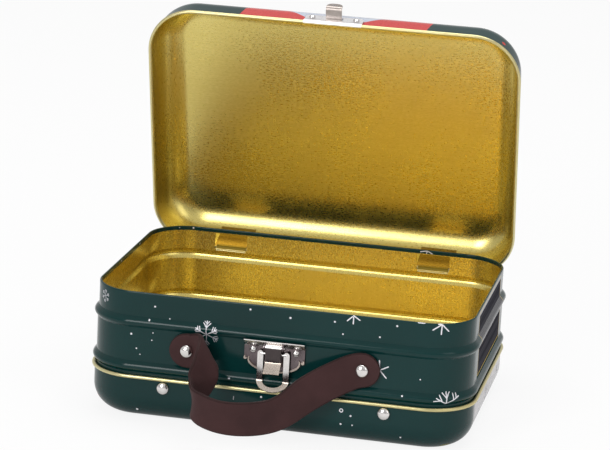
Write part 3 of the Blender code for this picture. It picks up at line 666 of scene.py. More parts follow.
def make_lid():
    """The lid: the tray's stamping upside down, with slots for the hinge tongues."""
    profile, looks = stamping_profile()
    shape = swept_wall(profile, looks, False, (0, 1), flip=LID_TOP)
    materials = (green_lid, gold_lid, gold_rim)
    lid = finish_piece("lid_printed", shape, materials, "lid", ("lid_shell",), lid=True)
    slots = bmesh.new()
    low = HINGE[2] + 0.45
    high = HINGE[2] + ROLL + 0.3 + SHEET + 0.4
    half = TONGUE_WIDTH / 2 + 0.4
    for x in (-HINGE_SPREAD, HINGE_SPREAD):
        slot = rectangle(x - half, low, x + half, high)
        prism(slots, slot, "Y", HINGE[1] - ROLL_OUTSET - 1.0, HINGE[1] - 0.35)
    cut(lid, [("DIFFERENCE", tool_piece("slots", slots, lid))])
    return lid


# Printed snowflakes and dots, laid on the walls

def on_outline(run, offset):
    """The point at a distance along the outline, from the front middle towards +X, and out by offset."""
    half_x = WIDTH / 2 - CORNER
    half_y = DEPTH / 2 - CORNER
    quarter = math.pi / 2 * CORNER
    pieces = [half_x, quarter, 2 * half_y, quarter, 2 * half_x, quarter, 2 * half_y, quarter, half_x]
    left = run % sum(pieces)
    spot = Vector((0.0, FRONT))
    heading = 0.0
    for index, length in enumerate(pieces):
        along = Vector((math.cos(heading), math.sin(heading)))
        inward = Vector((-along.y, along.x))
        if index % 2 == 0:
            if left <= length or index == len(pieces) - 1:
                return spot + along * left - inward * offset
            spot = spot + along * length
        else:
            centre = spot + inward * CORNER
            turn = min(left / CORNER, math.pi / 2)
            side = heading - math.pi / 2
            outward = Vector((math.cos(side + turn), math.sin(side + turn)))
            if left <= length:
                return centre + outward * (CORNER + offset)
            heading += math.pi / 2
            side = heading - math.pi / 2
            spot = centre + Vector((math.cos(side), math.sin(side))) * CORNER
        left -= length
    return spot


def band_offset(z):
    for low, base_low, base_high in BEADS:
        if low <= z <= low + BEAD_HEIGHT:
            share = (z - low) / BEAD_HEIGHT
            return base_low + (base_high - base_low) * share + bead_offset(share)
    return 0.0 if z < UPPER_BEAD else -NECK_INSET


def stamping_offset(height):
    outside = STAMP_OFFSET + SHEET
    if height >= FILLET:
        return outside
    return outside - FILLET + math.sqrt(max(0.0, FILLET**2 - (FILLET - height) ** 2))


def band_spot(run, z):
    """On the band's outside. Above the hem's edge the print follows its rounding inwards."""
    radius = HEM_THICKNESS / 2
    start = BODY_TOP - radius
    if z <= start:
        flat = on_outline(run, band_offset(z) + INK)
        return Vector((flat.x, flat.y, z))
    turn = min((z - start) / radius, math.radians(150.0))
    flat = on_outline(run, -NECK_INSET - radius + (radius + INK) * math.cos(turn))
    return Vector((flat.x, flat.y, start + (radius + INK) * math.sin(turn)))


def hem_spot(run, z):
    """On the hem's inner face, with z measured from its top edge."""
    flat = on_outline(run, -NECK_INSET - HEM_THICKNESS - INK)
    return Vector((flat.x, flat.y, BODY_TOP - HEM_THICKNESS / 2 + z + 0.5))


def tray_spot(run, z):
    flat = on_outline(run, stamping_offset(z) + INK)
    return Vector((flat.x, flat.y, z - INK * max(0.0, 1 - z / FILLET)))


def lid_side_spot(run, height):
    """On the lid's side: height is measured down from the lid's top, as on the upside-down tray."""
    flat = on_outline(run, stamping_offset(height) + INK)
    return Vector((flat.x, flat.y, LID_TOP - height + INK * max(0.0, 1 - height / FILLET)))


def lid_top_spot(x, y):
    return Vector((x, y, LID_TOP + INK))


def stroke(shape, spot, centre, start, end, width, look):
    """A straight stroke with tapered round ends, from start to end in the print's own plane."""
    a = Vector(start)
    b = Vector(end)
    along = b - a
    length = along.length
    along.normalize()
    side = Vector((-along.y, along.x)) * width / 2
    cuts = max(3, int(length / 0.8) + 1)
    stations = [(length * i / cuts, 1.0) for i in range(cuts + 1)]
    stations = [(-0.5 * width, 0.45)] + stations + [(length + 0.5 * width, 0.45)]
    rows = []
    for reach, share in stations:
        middle = a + along * reach
        rows.append([shape.verts.new(spot(centre[0] + p.x, centre[1] + p.y))
                     for p in (middle - side * share, middle, middle + side * share)])
    for low, high in zip(rows, rows[1:]):
        for i in range(2):
            face = shape.faces.new((low[i], high[i], high[i + 1], low[i + 1]))
            face.material_index = look


def circle(centre, radius, count):
    """Points on a circle, as (first axis, second axis)."""
    turns = [2 * math.pi * i / count for i in range(count)]
    return [(centre[0] + radius * math.cos(t), centre[1] + radius * math.sin(t)) for t in turns]


def dot(shape, spot, centre, radius, look):
    ring = [shape.verts.new(spot(a, b)) for a, b in circle(centre, radius, 12)]
    middle = shape.verts.new(spot(*centre))
    for i in range(12):
        face = shape.faces.new((middle, ring[i], ring[(i + 1) % 12]))
        face.material_index = look


def ring_mark(shape, spot, centre, radius, width, look):
    outer = [shape.verts.new(spot(a, b)) for a, b in circle(centre, radius, 16)]
    inner = [shape.verts.new(spot(a, b)) for a, b in circle(centre, radius - width, 16)]
    for i in range(16):
        j = (i + 1) % 16
        face = shape.faces.new((outer[i], outer[j], inner[j], inner[i]))
        face.material_index = look


def strokes(shape, spot, centre, lines, width, look=0):
    """Straight strokes from the centre, or between two given points, each as (x, z) or (x0, z0, x1, z1)."""
    for line in lines:
        start = line[:2] if len(line) == 4 else (0.0, 0.0)
        stroke(shape, spot, centre, start, line[-2:], width, look)


def fine_arm(shape, spot, centre, angle, reach, width, look=0):
    """An arm of a large thin snowflake: it ends in a fork, with a second pair of twigs below it."""
    along = Vector((math.cos(angle), math.sin(angle)))
    stroke(shape, spot, centre, (0.0, 0.0), along * reach, width, look)
    for start, length in ((0.55, 0.4), (0.78, 0.26)):
        for side in (-1, 1):
            lean = angle + side * math.radians(43.0)
            tip = along * reach * start + Vector((math.cos(lean), math.sin(lean))) * reach * length
            stroke(shape, spot, centre, along * reach * start, tip, 0.85 * width, look)


def snowflake(shape, spot, centre, radius, turn, twigs=2, arms=range(6), width=0.62, look=0):
    """Six arms with pairs of twigs; arms may be left out where the edge of the sheet cuts the print."""
    for arm in arms:
        angle = turn + arm * math.pi / 3
        along = Vector((math.cos(angle), math.sin(angle)))
        stroke(shape, spot, centre, (0.0, 0.0), along * radius, width, look)
        for twig in range(twigs):
            reach = radius * (0.42 + 0.27 * twig)
            length = radius * (0.34 - 0.08 * twig)
            for side in (-1, 1):
                lean = angle + side * math.radians(42.0)
                tip = along * reach + Vector((math.cos(lean), math.sin(lean))) * length
                stroke(shape, spot, centre, along * reach, tip, 0.85 * width, look)


def scatter(shape, spot, low, high, count, seed, avoid, flakes=0, flake_radius=4.5):
    """Seeded dots, with a few snowflakes, over a rectangle of the print; avoid lists (centre, radius)."""
    picker = random.Random(seed)
    taken = list(avoid)
    made = 0
    tries = 0
    while made < count and tries < 4000:
        tries += 1
        spot_at = (picker.uniform(low[0], high[0]), picker.uniform(low[1], high[1]))
        is_flake = made < flakes
        radius = picker.uniform(0.75, 1.15) * flake_radius if is_flake else picker.uniform(0.3, 0.62)
        turn = picker.uniform(0.0, 1.0)
        space = radius + (3.5 if is_flake else 3.0)
        if is_flake and not (low[0] + radius < spot_at[0] < high[0] - radius
                             and low[1] + radius < spot_at[1] < high[1] - radius):
            continue
        if any(math.hypot(spot_at[0] - c[0], spot_at[1] - c[1]) < space + r for c, r in taken):
            continue
        taken.append((spot_at, radius))
        made += 1
        if is_flake:
            snowflake(shape, spot, spot_at, radius, turn, 2 if radius > 4.0 else 1, width=0.5)
        else:
            dot(shape, spot, spot_at, radius, 0)


# Dots that the photograph shows on the front: distance from the front middle, height and radius
BAND_DOTS = (
    (-64, 62.2, 0.5), (-66.5, 55, 0.5), (-56, 56.5, 0.35), (-76, 46.5, 0.55), (-73, 39, 0.4),
    (-65, 44.2, 0.35), (-14, 66.2, 0.55), (7, 64, 0.58), (30, 64.5, 0.52), (34.5, 58.5, 0.45),
    (53.5, 59, 0.5), (62, 65.8, 0.55), (75.5, 39.2, 0.4), (67, 30, 0.5), (-23, 29, 0.55),
    (-64.5, 48.2, 0.3), (-71, 36, 0.3),
)
TRAY_DOTS = ((-72, 5.5, 0.65), (-6, 20.7, 0.55), (41, 16, 0.5), (36, 11, 0.55), (42, 11, 0.4), (67, 7, 0.5))


def print_band(looks, half):
    """half is half the way round the outline, from the front middle to the back middle."""
    shape = bmesh.new()
    flake = (-36.2, 50.6)
    for turn, reach in ((90.0, 7.0), (32.0, 6.3), (149.0, 6.3)):
        fine_arm(shape, band_spot, flake, math.radians(turn), reach, 0.55)
    for turn, reach in ((-90.0, 5.8), (-22.0, 6.3), (-150.0, 6.0)):
        fine_arm(shape, band_spot, flake, math.radians(turn), reach, 0.4, 3)
    for turn in range(6):
        fine_arm(shape, band_spot, (-94.6, 63.2), math.radians(22.0 + 60.0 * turn), 3.3, 0.34, 3)
    strokes(shape, band_spot, (39.5, 68.8), ((-3.1, -3.0), (3.3, -2.1), (0.0, -4.3)), 0.62)
    strokes(shape, band_spot, (85.0, 68.7), ((-4.6, -3.0), (3.7, -3.6), (-0.2, -5.2), (-1.9, 0.1)), 0.68)
    strokes(shape, band_spot, (54.5, 41.8), ((-0.4, 5.0), (4.3, 2.2), (3.5, -3.8)), 0.6)
    branch = ((0.2, 6.0), (0.1, 3.0, -1.9, 5.5), (0.15, 3.2, 2.0, 5.8), (-5.0, 3.1), (-3.0, 1.9, -6.2, 1.5),
              (-2.2, 1.5, -3.4, 4.4), (6.6, 3.6), (3.6, 2.0, 3.8, 4.9), (5.0, 2.8, 5.6, 4.9))
    strokes(shape, band_spot, (89.0, 27.2), branch, 0.55)
    stroke(shape, band_spot, (72.6, 68.75), (0.0, 0.0), (3.4, 0.05), 0.5, 0)
    for run, z, radius in BAND_DOTS:
        dot(shape, band_spot, (run, z), radius, 0)
    windows = [((half + side * HINGE_SPREAD, 62.0), 10.0) for side in (-1, 1)]
    scatter(shape, band_spot, (208.0, 33.5), (2 * half - 208.0, 49.5), 46, 3, [], 7)
    scatter(shape, band_spot, (208.0, 57.0), (2 * half - 208.0, 67.0), 18, 5, windows, 3, 3.6)
    scatter(shape, band_spot, (2 * half - 205.0, 33.5), (2 * half - 124.0, 49.5), 18, 9, [], 3)
    scatter(shape, band_spot, (2 * half - 205.0, 57.0), (2 * half - 112.0, 67.0), 8, 13, [], 1, 3.6)
    strokes(shape, hem_spot, (half - 54.0, -0.3), ((3.8, -0.8), (0.4, -1.4), (-2.8, -1.4)), 0.5)
    for run, radius in ((half + 79.5, 0.5), (half + 88.0, 0.3), (half + 136.0, 0.6), (half + 173.0, 0.6)):
        dot(shape, hem_spot, (run, -0.8), radius, 0)
    finish_piece("print_band", shape, looks, "body", ())


def print_tray(looks, half):
    shape = bmesh.new()
    for run, z, radius in TRAY_DOTS:
        dot(shape, tray_spot, (run, z), radius, 0)
    ring_mark(shape, tray_spot, (36.0, 18.4), 1.1, 0.5, 0)
    stroke(shape, tray_spot, (-20.5, 18.4), (0.0, -0.8), (0.1, 1.0), 0.35, 3)
    stroke(shape, tray_spot, (-101.0, 7.0), (0.0, -2.0), (0.4, 1.2), 0.9, 1)
    stroke(shape, tray_spot, (93.5, 2.6), (-2.6, 0.0), (2.4, 0.4), 1.5, 2)
    rivets = [((half + side * TRAY_RIVET_X, TRAY_RIVET_Z), 3.6) for side in (-1, 1)]
    scatter(shape, tray_spot, (128.0, 3.5), (2 * half - 122.0, 21.0), 84, 11, rivets, 11, 4.2)
    finish_piece("print_tray", shape, looks, "body", ())


def print_lid(looks, half):
    shape = bmesh.new()
    dot(shape, lid_side_spot, (92.0, 17.0), 1.2, 1)
    scatter(shape, lid_side_spot, (130.0, 4.0), (2 * half - 120.0, 21.0), 96, 17, [], 12, 4.2)
    scatter(shape, lid_top_spot, (58.5, -48.0), (84.0, 48.0), 24, 19, [], 5, 6.0)
    scatter(shape, lid_top_spot, (-84.0, -48.0), (-52.5, 48.0), 24, 23, [], 5, 6.0)
    snowflake(shape, lid_top_spot, (3.3, 4.0), 24.0, math.radians(90.0), 3, width=1.7)
    scatter(shape, lid_top_spot, (-44.0, -50.0), (50.5, 50.0), 46, 29, [((3.3, 4.0), 27.0)], 8, 5.0)
    finish_piece("print_lid", shape, looks, "lid", (), lid=True)


def make_prints():
    looks = (white, red, olive, thin_white)
    half = (WIDTH + DEPTH - 4 * CORNER) + math.pi * CORNER
    print_band(looks, half)
    print_tray(looks, half)
    print_lid(looks, half)


# Rivets

def dome_rivet(node_name, centre, outward, face, head, shank, tail, lid=False):
    """A domed rivet along Y: the head sits on face, the tail on the far side of the stack.

    head is (radius, height), shank the radius, and tail (radius, depth behind face, height).
    """
    segments = 40
    radius, height = head
    tail_radius, depth, tail_height = tail
    profile = [(0.0, depth + tail_height), (0.7 * tail_radius, depth + tail_height),
               (0.93 * tail_radius, depth + 0.8 * tail_height), (tail_radius, depth + 0.45 * tail_height),
               (tail_radius, depth), (shank, depth), (shank, 0.0), (0.93 * radius, 0.0),
               (0.985 * radius, -0.03 * height)]
    profile = [(r, -h) for r, h in profile]
    rim = 0.1 * height
    for step in range(13):
        turn = 0.5 * math.pi * step / 12
        profile.append((radius * math.cos(turn), rim + height * math.sin(turn)))
    shape = bmesh.new()
    rings = []
    for reach, h in profile:
        y = face + outward * h
        if reach < 1e-6:
            rings.append([shape.verts.new((centre[0], y, centre[1]))])
        else:
            rings.append([shape.verts.new((x, y, z)) for x, z in circle(centre, reach, segments)])
    for low, high in zip(rings, rings[1:]):
        for i in range(segments):
            j = (i + 1) % segments
            corners = [low[i % len(low)], low[j % len(low)], high[j % len(high)], high[i % len(high)]]
            shape.faces.new(list(dict.fromkeys(corners)))
    body = "lid" if lid else "body"
    made = node_name + "_dome"
    return finish_piece(made, shape, (bright,), body, (node_name,), lid=lid, sharp=50.0)


def make_rivets():
    tray_face = DEPTH / 2 + 1.1
    small_head = (1.75, 1.1)
    for side, word in ((-1, "left"), (1, "right")):
        centre = (side * STRAP_HALF_SPAN, STRAP_Z)
        dome_rivet(f"handle_rivet_{word}", centre, -1, STRAP_Y - 1.3, (3.4, 1.9), 1.5, (2.6, 3.7, 0.8))
        centre = (side * TRAY_RIVET_X, TRAY_RIVET_Z)
        for outward, end in ((-1, "front"), (1, "back")):
            dome_rivet(f"tray_rivet_{end}_{word}", centre, outward, outward * tray_face, (3.3, 1.9), 1.5,
                       (2.6, 1.9, 0.8))
        centre = (side * PLATE_RIVET_X, PLATE_RIVET_Z)
        dome_rivet(f"latch_rivet_{word}", centre, -1, PLATE_FACE - 0.3, small_head, 0.9, (1.6, 2.2, 0.6))
        centre = (side * KEEPER_RIVET_X, KEEPER_RIVET_Z)
        dome_rivet(f"keeper_rivet_{word}", centre, -1, KEEPER_FACE - 0.3, small_head, 0.9,
                   (1.4, 1.95, 0.3), lid=True)


# Latch

def plate_edge(side=PLATE_TOP - 8.8, bottom=PLATE_TOP - 14.8, steps=9):
    """The bowl-shaped lower edge, left to right, through small ears at the sides."""
    left = [(-PLATE_HALF, side + 1.4), (-PLATE_HALF, side + 0.2), (-0.93 * PLATE_HALF, side - 0.15)]
    centre = side - 0.1
    for step in range(steps):
        share = step / steps
        angle = math.radians(168.0 + share * 102.0)
        left.append((0.87 * PLATE_HALF * math.cos(angle), centre + (centre - bottom) * math.sin(angle)))
    return left + [(0.0, bottom)] + [(-x, z) for x, z in reversed(left)]


def make_latch_plate():
    """The base plate with its raised trim, bent flange, pressed bosses and two ears."""
    edge = plate_edge()
    shape = bmesh.new()
    prism(shape, edge + [(PLATE_HALF, PLATE_TOP), (-PLATE_HALF, PLATE_TOP)], "Y", PLATE_FACE, PLATE_BACK)
    # The plate's face gets the nickel painted dark, its trim the beige painted-reflection nickel; the flange
    # keeps the bright nickel.
    materials = (plate_metal_painted_dark, bright, warm_reflection_metal)
    plate = finish_piece("latch_plate_formed", shape, materials, "body", ("latch_plate",))
    trim = bmesh.new()
    inner = [(x * 0.955, z + 0.75) for x, z in edge]
    prism(trim, edge + inner[::-1], "Y", PLATE_FACE - 0.95, PLATE_BACK - 0.1)
    paint(trim, 2)
    lean = math.radians(40.0)
    along = Vector((-math.cos(lean), math.sin(lean)))
    across = Vector((along.y, -along.x)) * 0.4
    start = Vector((PLATE_FACE + 0.35, PLATE_TOP - 0.3))
    end = start + along * 3.6
    flange = bmesh.new()
    low = Vector((PLATE_FACE + 0.2, PLATE_TOP - 1.7))
    points = [low, end - across * 0.9, end + along * 0.25, end + across * 0.7, start + across]
    prism(flange, [tuple(p) for p in points], "X", -PLATE_HALF, PLATE_HALF)
    paint(flange, 1)
    ears = bmesh.new()
    nose = arc(PIN, 1.7, 90.0, 270.0, 14)
    outline_points = nose + [(PLATE_FACE + 0.3, PIN[1] - 1.7), (PLATE_FACE + 0.3, PIN[1] + 1.7)]
    for low in (-5.1, 4.45):
        prism(ears, outline_points, "X", low, low + 0.65)
    bosses = bmesh.new()
    for side in (-1, 1):
        ring = circle((side * PLATE_RIVET_X, PLATE_RIVET_Z), 2.5, 32)
        prism(bosses, ring, "Y", PLATE_FACE - 0.3, PLATE_FACE + 0.2)
    holes = bmesh.new()
    for side in (-1, 1):
        ring = circle((side * PLATE_RIVET_X, PLATE_RIVET_Z), 1.2, 24)
        prism(holes, ring, "Y", PLATE_FACE - 1, PLATE_BACK + 1)
    bore = arc(PIN, 1.0, 0.0, 360.0, 24)[:-1]
    prism(holes, bore, "X", -6.0, 6.0)
    cut(plate, [("UNION", tool_piece("trim", trim, plate)), ("UNION", tool_piece("flange", flange, plate)),
                ("UNION", tool_piece("bosses", bosses, plate)), ("UNION", tool_piece("ears", ears, plate)),
                ("DIFFERENCE", tool_piece("holes", holes, plate))])
    add_bevel(plate, 0.12)
    return plate


def make_pin():
    shape = bmesh.new()
    prism(shape, arc(PIN, 0.7, 0.0, 360.0, 28)[:-1], "X", -5.5, 5.5)
    return finish_piece("latch_pin_turned", shape, (bright,), "body", ("latch_pin",), bevel=0.12)


def make_lever():
    """A strip that wraps the pin, leans back to the knee and ends in the finger lip, with two cheeks."""
    face = PIN[0] - 1.6
    inner = PIN[0] - 1.0
    knee = PIN[1] - 7.9
    lean = math.radians(40.0)
    lip = Vector((-math.sin(lean), -math.cos(lean))) * 5.8
    rise = Vector((math.cos(lean), -math.sin(lean))) * 0.6
    back = 0.75
    points = arc(PIN, 1.6, 180.0, -110.0, 26) + arc(PIN, 1.0, -110.0, 180.0, 26)
    points += [(inner + back, knee + 0.35), (inner + back - 0.08, knee)]
    points += [(face + rise.x + lip.x, knee + rise.y + lip.y), (face + lip.x, knee + lip.y)]
    points += [(face + back - 0.3, knee - 0.3), (face + back, knee + 0.3)]
    shape = prism(bmesh.new(), points, "X", -4.15, 4.15)
    # Painted reflection: the face stays near black, the lip below the knee gets the beige nickel, and the
    # roll at the pin the bright nickel.
    shape.faces.ensure_lookup_table()
    for strip in shape.faces:
        middle = strip.calc_center_median()
        if len(strip.verts) != 4 or abs(middle.x) > 4.0:
            continue
        if middle.z < knee:
            strip.material_index = 2
        elif middle.z > PIN[1] - 1.3:
            strip.material_index = 1
    materials = (lever_metal_painted_dark, bright, warm_reflection_metal)
    lever = finish_piece("latch_lever_bent", shape, materials, "lever", ("latch_lever",))
    cheeks = bmesh.new()
    cheek_back = BAIL[0] + 0.55 + 0.3 + 0.45
    top = BAIL[1] + 0.55 + 0.3 + 0.55
    for low in (-4.14, 3.44):
        prism(cheeks, rectangle(face + 0.5, top - 5.0, cheek_back, top), "X", low, low + 0.7)
    holes = bmesh.new()
    prism(holes, arc(BAIL, 0.85, 0.0, 360.0, 24)[:-1], "X", -8.0, 8.0)
    cut(lever, [("UNION", tool_piece("cheeks", cheeks, lever)),
                ("DIFFERENCE", tool_piece("pivots", holes, lever))])
    add_bevel(lever, 0.12)
    return lever


def bail_point(x, run, depth, leg=14.5, lean=math.radians(40.0), bend=1.6):
    """A point of the bail: run is the length down the strip, depth is towards the body."""
    arc_length = bend * lean
    start = leg - arc_length / 2
    if run <= start:
        return (x, BAIL[0] + depth, BAIL[1] - run)
    turned = min((run - start) / bend, lean)
    centre_y = BAIL[0] - bend
    centre_z = BAIL[1] - start
    past = run - start - turned * bend
    radius = bend + depth
    y = centre_y + radius * math.cos(turned) - past * math.sin(turned)
    z = centre_z - radius * math.sin(turned) - past * math.cos(turned)
    return (x, y, z)


def make_bail():
    """A flat strip bent to a U. Its stations are pairs of points (x, run) on its inner and outer edge."""
    inner, outer, leg, bow, strip = 5.35, 8.35, 14.5, 6.0, 3.0
    middle = (inner + outer) / 2
    half = strip / 2
    round_end = []
    for step in range(9):
        turn = 0.5 * math.pi * step / 8
        wide = half * math.sin(turn * 0.97 + 0.045)
        drop = -half * math.cos(turn)
        round_end.append(((middle - wide, drop), (middle + wide, drop)))
    straight = [((inner, run), (outer, run)) for run in (4.0, 8.0, 12.0, 13.2, 13.7, 14.1, leg)]
    right = round_end + straight
    stations = list(right)
    steps = 32
    for step in range(1, steps):
        turn = math.pi * step / steps
        stations.append(((inner * math.cos(turn), leg + (bow - 0.8 * strip) * math.sin(turn)),
                         (outer * math.cos(turn), leg + bow * math.sin(turn))))
    stations += [((-near[0], near[1]), (-far[0], far[1])) for near, far in reversed(right)]
    shape = bmesh.new()
    rings = []
    for near, far in stations:
        rings.append([shape.verts.new(bail_point(x, run, depth * 0.8))
                      for (x, run), depth in ((near, 0.5), (far, 0.5), (far, -0.5), (near, -0.5))])
    # Painted reflection: the bottom of the bow gets the beige nickel, the rest the bright nickel.
    for first, second in zip(rings, rings[1:]):
        for i in range(4):
            j = (i + 1) % 4
            face = shape.faces.new((first[i], first[j], second[j], second[i]))
            face.material_index = 1 if face.calc_center_median().z < BAIL[1] - leg + 0.6 else 0
    shape.faces.new(rings[0])
    shape.faces.new(rings[-1])
    bail = finish_piece("latch_bail_bent", shape, (bright, warm_reflection_metal), "bail", ("latch_bail",))
    pins = bmesh.new()
    for low, high in ((-6.85, -2.95), (2.95, 6.85)):
        prism(pins, arc(BAIL, 0.55, 0.0, 360.0, 24)[:-1], "X", low, high)
    cut(bail, [("UNION", tool_piece("pins", pins, bail))])
    add_bevel(bail, 0.14)
    return bail


def make_keeper():
    """The plate on the lid with its window, the lip over the rim, and the bent hook with its slot."""
    half, low, high, corner = PLATE_HALF, KEEPER_LOW, KEEPER_LOW + KEEPER_HEIGHT, 1.5
    points = [(-half + corner, low), (half - corner, low), (half, low + corner), (half, high - corner)]
    points += [(half - corner, high), (-half + corner, high), (-half, high - corner), (-half, low + corner)]
    shape = prism(bmesh.new(), points, "Y", KEEPER_FACE, KEEPER_FACE + 0.7)
    materials = (pale_metal, hook_metal)
    keeper = finish_piece("keeper_formed", shape, materials, "lid", ("keeper_plate",), lid=True)
    wrap = bmesh.new()
    edge = [(KEEPER_FACE + 0.3, low + 1.5), (KEEPER_FACE - 0.6, low + 0.5), (KEEPER_FACE - 0.65, low - 1.2),
            (KEEPER_FACE - 0.35, low - 1.2), (KEEPER_FACE - 0.3, low), (KEEPER_FACE + 0.4, low + 0.3)]
    sleeve_axis = (FRONT - STAMP_OFFSET - ROLL_OUTSET, LID_TOP - STAMP_DEPTH + ROLL)
    sleeve = arc(sleeve_axis, ROLL + 0.13, 170.0, 300.0, 14)
    sleeve += arc(sleeve_axis, ROLL + 0.01, 300.0, 170.0, 14)
    rolled = prism(bmesh.new(), sleeve, "X", -half, half)
    finish_piece("keeper_lip", rolled, (pale_metal,), "lid", (), lid=True)
    prism(wrap, edge, "X", -half, half)
    window = bmesh.new()
    opening = rectangle(-4.65, low + 0.38 * KEEPER_HEIGHT, 4.65, low + 0.86 * KEEPER_HEIGHT)
    prism(window, opening, "Y", KEEPER_FACE - 1, KEEPER_FACE + 2)
    for side in (-1, 1):
        ring = circle((side * KEEPER_RIVET_X, KEEPER_RIVET_Z), 1.2, 24)
        prism(window, ring, "Y", KEEPER_FACE - 1, KEEPER_FACE + 2)
    root, bend, tip = low + 0.3 * KEEPER_HEIGHT, 2.0, KEEPER_FACE - 7.4
    top = root + bend + 3.4
    hook_half, plate = 4.35, 0.7
    bend_centre = (tip + bend, root + bend)
    hook_points = [(KEEPER_FACE + 0.63, root)] + arc(bend_centre, bend, 270.0, 180.0, 12)
    hook_points += [(tip, top), (tip + plate, top)] + arc(bend_centre, bend - plate, 180.0, 270.0, 12)
    hook_points += [(KEEPER_FACE + 0.63, root + plate)]
    hook = prism(bmesh.new(), hook_points, "X", -hook_half, hook_half)
    paint(hook, 1)
    slot = bmesh.new()
    prism(slot, rectangle(-1.3, root + bend + 0.2, 1.3, root + bend + 1.4), "Y", tip - 1, tip + 1.5)
    round_off = bmesh.new()
    turn_radius = 3.2
    for side in (-1, 1):
        rounded = arc((hook_half - turn_radius, top - turn_radius), turn_radius, 90.0, 0.0, 10)
        points = [(6.0, top + 1.0), (hook_half - turn_radius, top + 1.0)] + rounded
        points.append((6.0, top - turn_radius))
        prism(round_off, [(side * x, z) for x, z in points], "Y", tip - 1, tip + 1.2)
    cut(keeper, [("DIFFERENCE", tool_piece("keeper_window", window, keeper)),
                 ("UNION", tool_piece("wrap", wrap, keeper)),
                 ("UNION", tool_piece("hook", hook, keeper)),
                 ("DIFFERENCE", tool_piece("hook_slot", slot, keeper)),
                 ("DIFFERENCE", tool_piece("round_off", round_off, keeper))])
    add_bevel(keeper, 0.12)
    return keeper


# Leather handle

# Control points of the strap's middle line: share of half the span, distance out, drop, and twist in degrees
STRAP_ROUTE = (
    (-0.89, 0.0, -0.1, 1.0),
    (-0.70, 5.7, -4.8, 31.0),
    (-0.68, 17.8, -0.3, 33.0),
    (-0.72, 18.9, 11.4, 2.0),
    (-0.81, 29.6, 17.7, 6.0),
    (-0.51, 32.9, 22.7, 12.0),
    (-0.19, 29.4, 23.8, 3.0),
    (0.11, 22.0, 23.0, 2.0),
    (0.29, 17.0, 18.0, -1.0),
    (0.45, 11.0, 11.0, -17.0),
    (0.89, 0.0, 0.8, -8.0),
)


def strap_line(pitch=0.8):
    """The strap's middle line as (point, direction, twist): a B-spline from rivet to rivet."""
    left = (Vector((-STRAP_HALF_SPAN, STRAP_Y, STRAP_Z)), 0.0)
    right = (Vector((STRAP_HALF_SPAN, STRAP_Y, STRAP_Z)), 0.0)
    route = []
    for share, out, drop, twist in STRAP_ROUTE:
        route.append((Vector((share * STRAP_HALF_SPAN, STRAP_Y - out, STRAP_Z - drop)), math.radians(twist)))
    control = [left] * 3 + route + [right] * 3
    points = [left]
    for near in zip(control, control[1:], control[2:], control[3:]):
        for step in range(80):
            t = step / 80
            weights = ((1 - t) ** 3, 3 * t**3 - 6 * t**2 + 4, -3 * t**3 + 3 * t**2 + 3 * t + 1, t**3)
            point = sum((where * weight for (where, _), weight in zip(near, weights)), Vector()) / 6
            twist = sum(turn * weight for (_, turn), weight in zip(near, weights)) / 6
            if (point - points[-1][0]).length >= pitch:
                points.append((point, twist))
    if (right[0] - points[-1][0]).length < pitch / 2:
        points.pop()
    points.append(right)
    line = []
    for index, (point, twist) in enumerate(points):
        ahead = points[min(index + 1, len(points) - 1)][0]
        behind = points[max(index - 1, 0)][0]
        line.append((point, (ahead - behind).normalized(), twist))
    return line


def make_strap():
    """The leather strap with rounded ends. Its twist turns it about its own middle line."""
    half_width = STRAP_WIDTH / 2
    half_sheet = STRAP_THICKNESS / 2
    line = strap_line()
    shares = [math.sin(0.5 * math.pi * k / 12) for k in range(12, 1, -1)]
    shares[0] = 0.997
    first, last = line[0], line[-1]
    sections = [(first[0] - first[1] * half_width * s, first[1], 0.0, half_width * math.sqrt(1 - s * s))
                for s in shares]
    sections += [(point, direction, twist, half_width) for point, direction, twist in line]
    sections += [(last[0] + last[1] * half_width * s, last[1], 0.0, half_width * math.sqrt(1 - s * s))
                 for s in reversed(shares)]
    across_steps = 14
    edge_steps = 5
    corner = 0.75
    shape = bmesh.new()
    rings = []
    for point, direction, twist, reach in sections:
        upright = (Vector((0.0, 0.0, 1.0)) - direction * direction.z).normalized()
        across = upright * math.cos(twist) + direction.cross(upright) * math.sin(twist)
        outward = direction.cross(across)
        ring = []
        flat = max(0.0, reach - corner)
        rim = min(corner, reach)
        for side in (1, -1):
            for step in range(across_steps + 1):
                a = side * (-flat + 2 * flat * step / across_steps)
                ring.append((a, side * half_sheet))
            for step in range(1, edge_steps):
                turn = math.pi * step / edge_steps
                ring.append((side * (flat + rim * math.sin(turn)), side * half_sheet * math.cos(turn)))
        rings.append([shape.verts.new(point + across * a + outward * b) for a, b in ring])
    count = len(rings[0])
    edge_slots = set(range(across_steps, across_steps + edge_steps)) | set(
        range(2 * across_steps + edge_steps, count))
    for near, far in zip(rings, rings[1:]):
        for i in range(count):
            j = (i + 1) % count
            face = shape.faces.new((near[i], near[j], far[j], far[i]))
            face.material_index = 1 if i in edge_slots else 0
    for ring in (rings[0], rings[-1]):
        shape.faces.new(ring).material_index = 1
    materials = (leather, leather_edge)
    return finish_piece("handle_leather", shape, materials, "body", ("handle_strap",), sharp=60.0)


for make in (make_band, make_tongues, make_tray, make_lid, make_prints, make_rivets, make_latch_plate,
             make_pin, make_lever, make_bail, make_keeper, make_strap):
    make()


# Floor, light and camera

def ray_kinds(tree):
    """Masks for what is seen directly, by camera or through glass, and for what is seen in a reflection."""
    path = tree.nodes.new("ShaderNodeLightPath").outputs
    direct = math_node(tree, "MAXIMUM", path["Is Camera Ray"], path["Is Transmission Ray"])
    return direct, path["Is Glossy Ray"]


